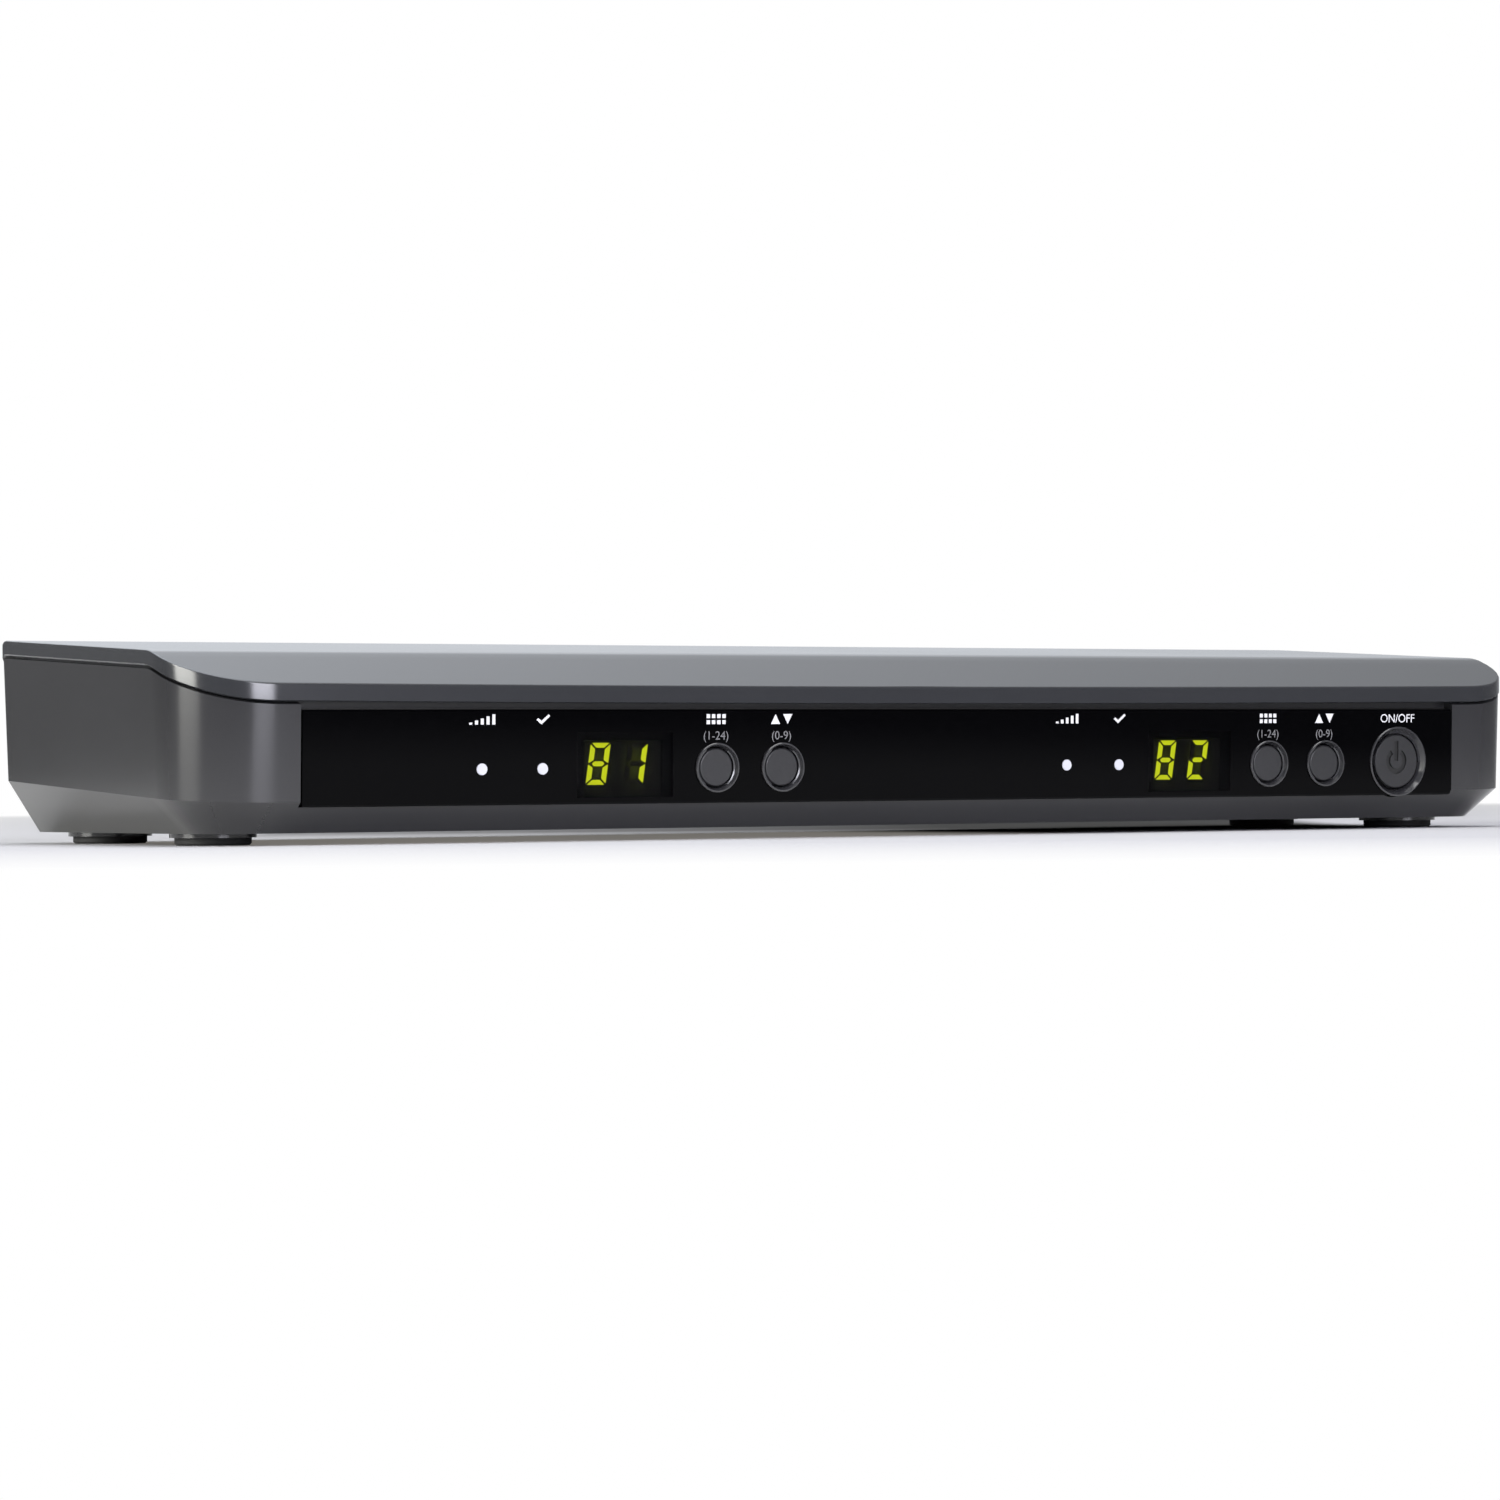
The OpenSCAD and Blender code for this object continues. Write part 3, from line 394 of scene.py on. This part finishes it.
# The studio is a white paper table with a pale backdrop behind it and a dim room in front; the paper
# carries painted shade behind the object, a painted glow under it and a darker bluish tone to the camera.
# Bearings are in degrees from +X towards +Y, and sizes in metres
studio = {
    "floor": 8.0,
    "ambient": 0.16,
    "paper": (0.84, 0.84, 0.84, 1.0),
    "paperSeen": (0.49, 0.49, 0.515, 1.0),
    "table": 0.35,
    "dark": (0.06, 0.06, 0.06, 1.0),
    "backdropBearing": 74.0,
    "backdropSpread": 17.0,
    "backdropTint": (0.90, 0.94, 1.0, 1.0),
    "backdropBoost": 0.7,
    "lowBearing": 58.0,
    "lowSpread": 17.0,
    "lowEdge": (0.1, 0.2),
    "dimRoom": 0.10,
    "sightBearing": 59.5,
    "footprint": (0.20, 0.15),
    "strip": 0.80,
    "fade": 0.26,
    "shade": (-0.16, 0.16),
    "shadeEdge": 0.015,
    "shadeAlong": (0.0, 0.65),
    "shadeFade": 0.12,
    "shadeRise": 2.2,
    "shadeDepth": 0.90,
    "underGlow": 0.17,
    "underColour": (1.0, 0.94, 0.86, 1.0),
    "underAcross": (-0.19, 0.06),
    "underDeep": (-0.06, 0.06),
    "underEdges": (0.03, 0.006),
    "fibre": 0.04,
    "fibreScale": 6,
    "paperRoughness": 0.6,
}


# How much of the pale backdrop lies in the direction of x, y; near the table it reaches further round
def backdrop(x, y, low):
    bearing = x.math("ARCTAN2", y, x) * math.degrees(1)
    glow = bearing.bell(studio["backdropBearing"], studio["backdropSpread"])
    glow = glow.atLeast(bearing.bell(studio["lowBearing"], studio["lowSpread"]) * low)
    return glow * (1 - studio["dimRoom"]) + studio["dimRoom"]


# 1 for rays that see the white background: the camera's, and reflections of the backdrop
def seesWhite(nodes, x, y, low=1.0):
    direct = nodes.ray("Camera") + nodes.ray("Transmission")
    return (direct + nodes.ray("Glossy") * backdrop(x, y, low)).limited()


# White to the camera; the object sees a soft room with the backdrop in its reflections
def addWorld():
    world = bpy.data.worlds.new("studio")
    scene.world = world
    world.use_nodes = True
    nodes = Nodes(world.node_tree)
    direction = nodes.add("ShaderNodeTexCoord", {}, {}, "Generated")
    x = nodes.add("ShaderNodeSeparateXYZ", {}, {0: direction}, "X")
    y = nodes.add("ShaderNodeSeparateXYZ", {}, {0: direction}, "Y")
    z = nodes.add("ShaderNodeSeparateXYZ", {}, {0: direction}, "Z")
    start, rise = studio["lowEdge"]
    low = 1 - ((z - start) / rise).limited()
    tone = nodes.blend(nodes.ray("Glossy"), (1, 1, 1, 1), studio["backdropTint"])
    soft = nodes.add("ShaderNodeBackground", {}, {0: (1, 1, 1, 1), 1: studio["ambient"]})
    boost = nodes.ray("Glossy") * (1 - low) * studio["backdropBoost"] + 1
    brighter = nodes.add("ShaderNodeVectorMath", {"operation": "SCALE"}, {0: tone, 3: boost})
    white = nodes.add("ShaderNodeBackground", {}, {0: brighter, 1: 1.0})
    mixed = nodes.add("ShaderNodeMixShader", {}, {0: seesWhite(nodes, x, y, low), 1: soft, 2: white})
    nodes.add("ShaderNodeOutputWorld", {}, {0: mixed}, None)


# A soft shade on the paper behind the object, deeper to the right
def shadeBehind(across, along):
    strip = across.between(*studio["shade"], studio["shadeEdge"])
    strip = strip * along.between(*studio["shadeAlong"], studio["shadeFade"])
    return (across * studio["shadeRise"] + studio["shadeDepth"]).limited() * strip


# 0 round the object and its shadow, 1 well away from them
def clearPaper(across, along):
    aside = (across.size() - studio["footprint"][0]).atLeast(0.0)
    before = (-studio["footprint"][1] - along).atLeast(along - studio["strip"]).atLeast(0.0)
    return ((aside * aside + before * before).root() / studio["fade"]).limited()


# Paper with painted shade behind the object, a painted glow under it and a darker bluish tone to the
# camera; away from the object it shows clear white, so that no horizon is seen
def paperFinish():
    finish = Finish("paper")
    x, y = finish.axis("X"), finish.axis("Y")
    far = (((x * x + y * y).root() - studio["table"]) / studio["fade"]).limited()
    fibre = finish.noise(studio["fibreScale"])
    # The camera sees a darker, bluish copy of the paper, a painted shade on the paper round the object;
    # reflections and bounce light see the brighter paper, which throws painted light onto the object's
    # lower chamfers
    sheet = finish.blend(finish.ray("Camera"), studio["paper"], studio["paperSeen"])
    paper = finish.blend(fibre * studio["fibre"], sheet, studio["dark"])
    hidden = far * (1 - finish.ray("Camera"))
    sight = math.radians(studio["sightBearing"])
    along = x * math.cos(sight) + y * math.sin(sight)
    across = x * math.sin(sight) - y * math.cos(sight)
    lit = finish.blend(shadeBehind(across, along), paper, studio["dark"])
    finish.set(Base_Color=finish.blend(hidden, lit, studio["dark"]))
    finish.set(Roughness=studio["paperRoughness"], Specular_IOR_Level=0.0)
    # A painted warm glow on the paper under the case, seen by the camera only, that lightens the shadow in
    # the gap below the case
    edgeAcross, edgeDeep = studio["underEdges"]
    under = x.between(*studio["underAcross"], edgeAcross) * y.between(*studio["underDeep"], edgeDeep)
    under = under * finish.ray("Camera")
    finish.set(Emission_Color=finish.blend(under, (0, 0, 0, 1), studio["underColour"]))
    finish.set(Emission_Strength=studio["underGlow"])
    white = finish.add("ShaderNodeEmission", {}, {0: (1, 1, 1, 1), 1: 1.0})
    shader = Wire(finish, finish.shader.outputs[0])
    share = clearPaper(across, along) * seesWhite(finish, x, y)
    mixed = finish.add("ShaderNodeMixShader", {}, {0: share, 1: shader, 2: white})
    finish.tree.links.new(mixed.socket, finish.output.inputs[0])
    return finish


def addFloor():
    form = bmesh.new()
    bmesh.ops.create_grid(form, x_segments=1, y_segments=1, size=studio["floor"])
    mesh = bpy.data.meshes.new("floor")
    form.to_mesh(mesh)
    form.free()
    floor = bpy.data.objects.new("floor", mesh)
    scene.collection.objects.link(floor)
    mesh.materials.append(paperFinish().material)


def bodyOf(node):
    return frame["nodes"][node]["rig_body"]


def addPiece(name, form, finish, body, smooth=35.0, bevel=0.0):
    for part in form.faces:
        part.smooth = True
    for edge in form.edges:
        edge.smooth = len(edge.link_faces) == 2 and edge.calc_face_angle(0) < math.radians(smooth)
    mesh = bpy.data.meshes.new(name)
    form.to_mesh(mesh)
    form.free()
    piece = bpy.data.objects.new(name, mesh)
    scene.collection.objects.link(piece)
    mesh.materials.append(finish.material)
    if bevel:
        rounded = piece.modifiers.new("rounded", "BEVEL")
        rounded.width = bevel * mm
        rounded.segments = 2
        rounded.limit_method = "ANGLE"
        rounded.angle_limit = math.radians(smooth)
        rounded.harden_normals = True
    weighted = piece.modifiers.new("weighted", "WEIGHTED_NORMAL")
    weighted.keep_sharp = True
    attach(piece, body)
    return piece


# How near two corners are merged, in millimetres, and how flat an edge goes, in degrees
weld = {
    "near": 0.002,
    "flat": 0.05,
}


def weldedCopy(node):
    form = bmesh.new()
    form.from_mesh(frame["nodes"][node].data)
    bmesh.ops.remove_doubles(form, verts=form.verts, dist=weld["near"] * mm)
    flat = math.radians(weld["flat"])
    bmesh.ops.dissolve_limit(form, angle_limit=flat, verts=form.verts, edges=form.edges)
    return form


# Adds a form that stands for a CAD node, on the node's body and in its slot
def addStandIn(name, node, form, finishes, smooth=35.0, bevel=0.0):
    slot = slotOf[node]
    piece = addPiece(name, form, finishes[slot], bodyOf(node), smooth, bevel)
    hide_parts(node)
    return piece


# A welded copy of a CAD node, shaded round where its faces run on, which stands for the node
def skinOf(node, finishes, smooth=35.0, bevel=0.0):
    return addStandIn(node + "Skin", node, weldedCopy(node), finishes, smooth, bevel)


# The lens's face: its bow along the front, its lean, and where both are measured from
face = {
    "front": -58.0,
    "bow": 2.1,
    "halfWidth": 194.0,
    "inset": 0.3,
    "draft": 1.93,
    "topLine": 32.25,
}


def faceY(x, z):
    behind = face["inset"] + math.tan(math.radians(face["draft"])) * (face["topLine"] - z)
    return face["front"] + face["bow"] * (x / face["halfWidth"]) ** 2 + behind


# Printed marks on the lens, in millimetres
marks = {
    "lift": 0.02,
    "rowHeight": 28.8,
    "numberHeight": 24.9,
    "tall": 2.4,
    "numberTall": 2.0,
    "wordTall": 2.16,
    "capitalShare": 0.69,
    "channelPitch": 164.0,
    "indicators": (-120.6, -104.7),
    "buttons": (-58.0, -39.8),
    "power": 148.3,
}


# Flat outlines, given as lists of (x, z) in millimetres, laid on the lens's face
def printOutlines(name, outlines, finish):
    form = bmesh.new()
    for outline in outlines:
        corners = [(x * mm, (faceY(x, z) - marks["lift"]) * mm, z * mm) for x, z in outline]
        form.faces.new([form.verts.new(corner) for corner in corners])
    bmesh.ops.recalc_face_normals(form, faces=form.faces)
    return addPiece(name, form, finish, "housing")


def box(x, z, wide, tall):
    return [(x - wide / 2, z - tall / 2), (x + wide / 2, z - tall / 2),
            (x + wide / 2, z + tall / 2), (x - wide / 2, z + tall / 2)]


# Sizes within the signs, in millimetres, or as shares of a sign's height
signs = {
    "bars": 5,
    "barPitch": 1.5,
    "barWide": 0.8,
    "tickStroke": 0.42,
    "tickAcross": (-1.7, -0.4, 1.9),
    "tickDrop": 0.1,
    "squares": 4,
    "squareShare": 0.40,
    "squarePitch": 1.5,
    "rowShare": 0.3,
    "triangleApart": 0.4,
    "triangleWide": 2.6,
}


# Rising bars
def levelMark(x, z, tall):
    outlines = []
    for k in range(signs["bars"]):
        high = tall * (k + 1) / signs["bars"]
        across = x + (k - (signs["bars"] - 1) / 2) * signs["barPitch"]
        outlines.append(box(across, z - tall / 2 + high / 2, signs["barWide"], high))
    return outlines


# A tick made of two strokes
def tickMark(x, z, tall):
    stroke = signs["tickStroke"]
    left, turn, right = (x + across for across in signs["tickAcross"])
    low, high, start = z - tall / 2, z + tall / 2, z - signs["tickDrop"]
    down = [(left, start), (left + stroke, start + stroke), (turn, low + 2 * stroke), (turn, low)]
    up = [(turn, low), (turn, low + 2 * stroke), (right - stroke, high), (right, high - stroke)]
    return [down, up]


# Two rows of squares
def groupMark(x, z, tall):
    side = tall * signs["squareShare"]
    pitch, first = side * signs["squarePitch"], (signs["squares"] - 1) / 2
    return [box(x + (k - first) * pitch, z + row * tall * signs["rowShare"], side, side)
            for k in range(signs["squares"]) for row in (-1, 1)]


# Two triangles, one pointing up and one pointing down
def stepMark(x, z, tall):
    near, wide = signs["triangleApart"], signs["triangleWide"]
    low, high = z - tall / 2, z + tall / 2
    return [[(x - near - wide, low), (x - near, low), (x - near - wide / 2, high)],
            [(x + near, high), (x + near + wide / 2, low), (x + near + wide, high)]]


# Letters or figures from the built-in font, laid on the lens's face
def printWord(name, word, x, z, tall, finish):
    curve = bpy.data.curves.new(name + "Curve", "FONT")
    curve.body = word
    curve.size = tall / marks["capitalShare"]
    curve.align_x = "CENTER"
    carrier = bpy.data.objects.new(name + "Curve", curve)
    mesh = bpy.data.meshes.new_from_object(carrier)
    form = bmesh.new()
    form.from_mesh(mesh)
    for vert in form.verts:
        across, up = x + vert.co.x, z - tall / 2 + vert.co.y
        vert.co = Vector((across * mm, (faceY(across, up) - marks["lift"]) * mm, up * mm))
    bpy.data.objects.remove(carrier)
    bpy.data.curves.remove(curve)
    bpy.data.meshes.remove(mesh)
    return addPiece(name, form, finish, "housing")


def printMarks(finishes):
    bright, dim = finishes["bright_ink"], finishes["dim_ink"]
    rowZ, tall = marks["rowHeight"], marks["tall"]
    for channel in (0, 1):
        shift = channel * marks["channelPitch"]
        tag = str(channel + 1)
        firstX, secondX = (x + shift for x in marks["indicators"])
        groupX, channelX = (x + shift for x in marks["buttons"])
        printOutlines("levelMark" + tag, levelMark(firstX, rowZ, tall), bright)
        printOutlines("readyMark" + tag, tickMark(secondX, rowZ, tall), bright)
        printOutlines("groupMark" + tag, groupMark(groupX, rowZ, tall), bright)
        printOutlines("stepMark" + tag, stepMark(channelX, rowZ, tall), bright)
        printWord("groupRange" + tag, "(1-24)", groupX, marks["numberHeight"], marks["numberTall"], dim)
        printWord("channelRange" + tag, "(0-9)", channelX, marks["numberHeight"], marks["numberTall"], dim)
    printWord("powerWord", "ON/OFF", marks["power"], rowZ, marks["wordTall"], bright)


def meshOf(name, form):
    mesh = bpy.data.meshes.new(name)
    form.to_mesh(mesh)
    form.free()
    return bpy.data.objects.new(name, mesh)


# Takes the shape of one form out of another
def cutOut(form, tool):
    solid, cutter = meshOf("solid", form), meshOf("cutter", tool)
    for part in (solid, cutter):
        scene.collection.objects.link(part)
    cut = solid.modifiers.new("cut", "BOOLEAN")
    cut.object = cutter
    cut.solver = "EXACT"
    result = bmesh.new()
    result.from_mesh(solid.evaluated_get(bpy.context.evaluated_depsgraph_get()).to_mesh())
    for part in (solid, cutter):
        bpy.data.objects.remove(part)
    return result


# How much nearer the front the caps and the inner edges of their rings' dishes lie, with the sizes by
# which both are found and the rounding of their edges, in millimetres
caps = {
    "smallRaise": 0.85,
    "powerRaise": 1.5,
    "smallDish": 0.85,
    "powerDish": 1.35,
    "smallBore": 4.8,
    "powerBore": 7.2,
    "powerRadius": 6.7,
    "frontDepth": 1.3,
    "lensThickness": 1.6,
    "boreReach": 0.08,
    "smallEdge": 0.12,
    "powerEdge": 0.05,
    "ringEdge": 0.1,
}

smallButtons = ["group_button_1", "channel_button_1", "group_button_2", "channel_button_2"]


# A copy of a cap with its front nearer the lens's face
def raisedCap(node, lift):
    form = weldedCopy(node)
    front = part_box(node)[0].y + caps["frontDepth"] * mm
    faceVerts = [vert for vert in form.verts if vert.co.y < front]
    bmesh.ops.translate(form, verts=faceVerts, vec=(0, -lift * mm, 0))
    return form


# The sign sunk into the power button, in millimetres, and half of its gap in degrees
powerSymbol = {
    "radius": 2.65,
    "line": 1.35,
    "gap": 32.0,
    "barTop": 5.2,
    "barBottom": 0.0,
    "relief": 0.45,
    "steps": 36,
    "grooveDepths": (0.1, 0.6),
}


# Ring with a gap at its top and a bar through the gap, sunk into the power button's cap
def symbolTool(middle, front):
    inner = powerSymbol["radius"] - powerSymbol["line"] / 2
    outer = powerSymbol["radius"] + powerSymbol["line"] / 2
    start, end = 90 + powerSymbol["gap"], 450 - powerSymbol["gap"]
    across, up = math.cos(math.radians(start)), math.sin(math.radians(start))
    form = bmesh.new()
    first = [form.verts.new((r * across, r * up, 0)) for r in (inner, outer)]
    edge = form.edges.new(first)
    bmesh.ops.spin(form, geom=[edge] + first, axis=(0, 0, 1), cent=(0, 0, 0),
                   angle=math.radians(end - start), steps=powerSymbol["steps"])
    half = powerSymbol["line"] / 2
    form.faces.new([form.verts.new(corner) for corner in (
        (-half, powerSymbol["barBottom"], 0), (half, powerSymbol["barBottom"], 0),
        (half, powerSymbol["barTop"], 0), (-half, powerSymbol["barTop"], 0))])
    raised = bmesh.ops.extrude_face_region(form, geom=list(form.faces))
    top = [item for item in raised["geom"] if isinstance(item, bmesh.types.BMVert)]
    bmesh.ops.translate(form, verts=top, vec=(0, 0, 2 * powerSymbol["relief"]))
    bmesh.ops.translate(form, verts=form.verts, vec=(0, 0, -powerSymbol["relief"]))
    bmesh.ops.recalc_face_normals(form, faces=form.faces)
    turn = Matrix.Rotation(math.radians(90 + face["draft"]), 4, "X")
    place = Matrix.Translation((middle.x, front, middle.z)) @ turn @ Matrix.Scale(mm, 4)
    bmesh.ops.transform(form, matrix=place, verts=form.verts)
    return form


def addCaps(finishes):
    for node in smallButtons:
        form = raisedCap(node, caps["smallRaise"])
        addStandIn(node + "Cap", node, form, finishes, 30, caps["smallEdge"])
    node = "power_button"
    form = raisedCap(node, caps["powerRaise"])
    low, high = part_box(node)
    middle = (low + high) / 2
    lean = caps["powerRadius"] * mm * math.sin(math.radians(face["draft"]))
    front = low.y + lean - caps["powerRaise"] * mm
    form = cutOut(form, symbolTool(middle, front))
    tilt = math.tan(math.radians(face["draft"]))
    shallow, deep = (depth * mm for depth in powerSymbol["grooveDepths"])
    # Faces down in the groove get the darker plastic: painted shade in the recess
    for part in form.faces:
        centre = part.calc_center_median()
        depth = centre.y - front - tilt * (middle.z - centre.z)
        reach = math.hypot(centre.x - middle.x, centre.z - middle.z)
        if shallow < depth < deep and reach < powerSymbol["barTop"] * mm:
            part.material_index = 1
    piece = addStandIn(node + "Cap", node, form, finishes, 30, caps["powerEdge"])
    piece.data.materials.append(finishes["symbol_groove_shade"].material)


# The bezel, with the inner edge of the dish round each button moved nearer the front, and the part in
# front of the lens's back in the rings' plastic
def addBezel(finishes):
    node = "front_bezel"
    form = weldedCopy(node)
    for button in smallButtons + ["power_button"]:
        kind = "power" if button == "power_button" else "small"
        low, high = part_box(button)
        middle = (low + high) / 2
        bore = caps[kind + "Bore"] * mm
        innerEdge = []
        for vert in form.verts:
            reach = math.hypot(vert.co.x - middle.x, vert.co.z - middle.z)
            atBore = abs(reach - bore) < caps["boreReach"] * mm
            if atBore and vert.co.y < low.y + caps["frontDepth"] * mm:
                innerEdge.append(vert)
        bmesh.ops.translate(form, verts=innerEdge, vec=(0, -caps[kind + "Dish"] * mm, 0))
    behindLens = caps["lensThickness"] * mm
    for part in form.faces:
        middle = part.calc_center_median()
        if middle.y < faceY(middle.x / mm, middle.z / mm) * mm + behindLens:
            part.material_index = 1
    piece = addStandIn(node + "Skin", node, form, finishes, 30, caps["ringEdge"])
    piece.data.materials.append(finishes["ring_plastic"].material)


# Leaning figures of seven segments behind the lens, in millimetres
digits = {
    "firstDisplay": -83.9,
    "pitch": 10.05,
    "middle": 18.3,
    "tall": 9.9,
    "wide": 5.3,
    "stroke": 1.15,
    "upStroke": 1.3,
    "gap": 0.17,
    "lean": 8.0,
    "depth": 1.85,
    "thick": 0.12,
    "corner": 0.16,
}

# The segments of each figure that are lit: 8 and 1 on the first display, 8 and 2 on the second
shown = [[(0, 1, 2, 3, 4, 5, 6), (1, 2)], [(0, 1, 2, 3, 4, 5, 6), (0, 1, 6, 4, 3)]]


# Corners (x, up) of one segment of an upright figure: 0 is the top one, then clockwise, 6 the middle one
def segmentOutline(k):
    right, top = digits["wide"] / 2, digits["tall"] / 2
    stroke, upStroke, gap = digits["stroke"], digits["upStroke"], digits["gap"]
    flat = [(2 * gap - right, top), (right - 2 * gap, top),
            (right - upStroke - 2 * gap, top - stroke), (upStroke + 2 * gap - right, top - stroke)]
    upright = [(right, top - 2 * gap), (right, gap), (right - upStroke, stroke / 2 + 2 * gap),
               (right - upStroke, top - stroke - 2 * gap)]
    end, half = right - upStroke / 2 - 2 * gap, stroke / 2
    middle = [(-end, 0), (half - end, half), (end - half, half),
              (end, 0), (end - half, -half), (half - end, -half)]
    shapes = [(flat, 1, 1), (upright, 1, 1), (upright, 1, -1), (flat, 1, -1),
              (upright, -1, -1), (upright, -1, 1), (middle, 1, 1)]
    shape, acrossSign, upSign = shapes[k]
    return [(across * acrossSign, up * upSign) for across, up in shape]


# One segment's outline, leaning and laid behind the lens
def addSegment(form, middle, k):
    lean = math.tan(math.radians(digits["lean"]))
    corners = []
    for across, up in segmentOutline(k):
        x, z = middle + across + up * lean, digits["middle"] + up
        corners.append(form.verts.new((x * mm, (faceY(x, z) + digits["depth"]) * mm, z * mm)))
    form.faces.new(corners)


def addFigures(name, node, lit, finishes):
    form = bmesh.new()
    for channel in (0, 1):
        display = digits["firstDisplay"] + channel * marks["channelPitch"]
        for place in (0, 1):
            middle = display + (place - 0.5) * digits["pitch"]
            for k in range(7):
                if (k in shown[channel][place]) == lit:
                    addSegment(form, middle, k)
    bmesh.ops.recalc_face_normals(form, faces=form.faces)
    bmesh.ops.bevel(form, geom=form.verts, affect="VERTICES", offset=digits["corner"] * mm, segments=2,
                    profile=0.5, material=-1)
    raised = bmesh.ops.extrude_face_region(form, geom=list(form.faces))
    back = [item for item in raised["geom"] if isinstance(item, bmesh.types.BMVert)]
    bmesh.ops.translate(form, verts=back, vec=(0, digits["thick"] * mm, 0))
    bmesh.ops.recalc_face_normals(form, faces=form.faces)
    addStandIn(name, node, form, finishes, 30)


print("camera, lamps and floor")
addCamera()
addWorld()
addFloor()
for name, lamp in lamps.items():
    addLamp(name, lamp)

print("finishes")
finishes = makeFinishes()
for node, part in frame["nodes"].items():
    part.data.materials.clear()
    part.data.materials.append(finishes[slotOf[node]].material)

print("skins")
roundedShell = {"bottom_housing": 0.25, "top_cover": 0.35}
roundShapes = ["front_lens", "light_pipes", "xlr_shell_1", "xlr_shell_2", "xlr_insert_1", "xlr_insert_2",
               "xlr_pins_1", "xlr_pins_2", "jack_1", "jack_2", "jack_nuts", "dc_inlet", "dc_pin",
               "rubber_feet", "case_screws", "capacitors"]
for node, bevel in roundedShell.items():
    skinOf(node, finishes, 28.0, bevel)
for node in roundShapes:
    skinOf(node, finishes)
addBezel(finishes)
addCaps(finishes)

print("figures and marks")
addFigures("litFigures", "lit_segments", True, finishes)
addFigures("darkFigures", "dark_segments", False, finishes)
printMarks(finishes)
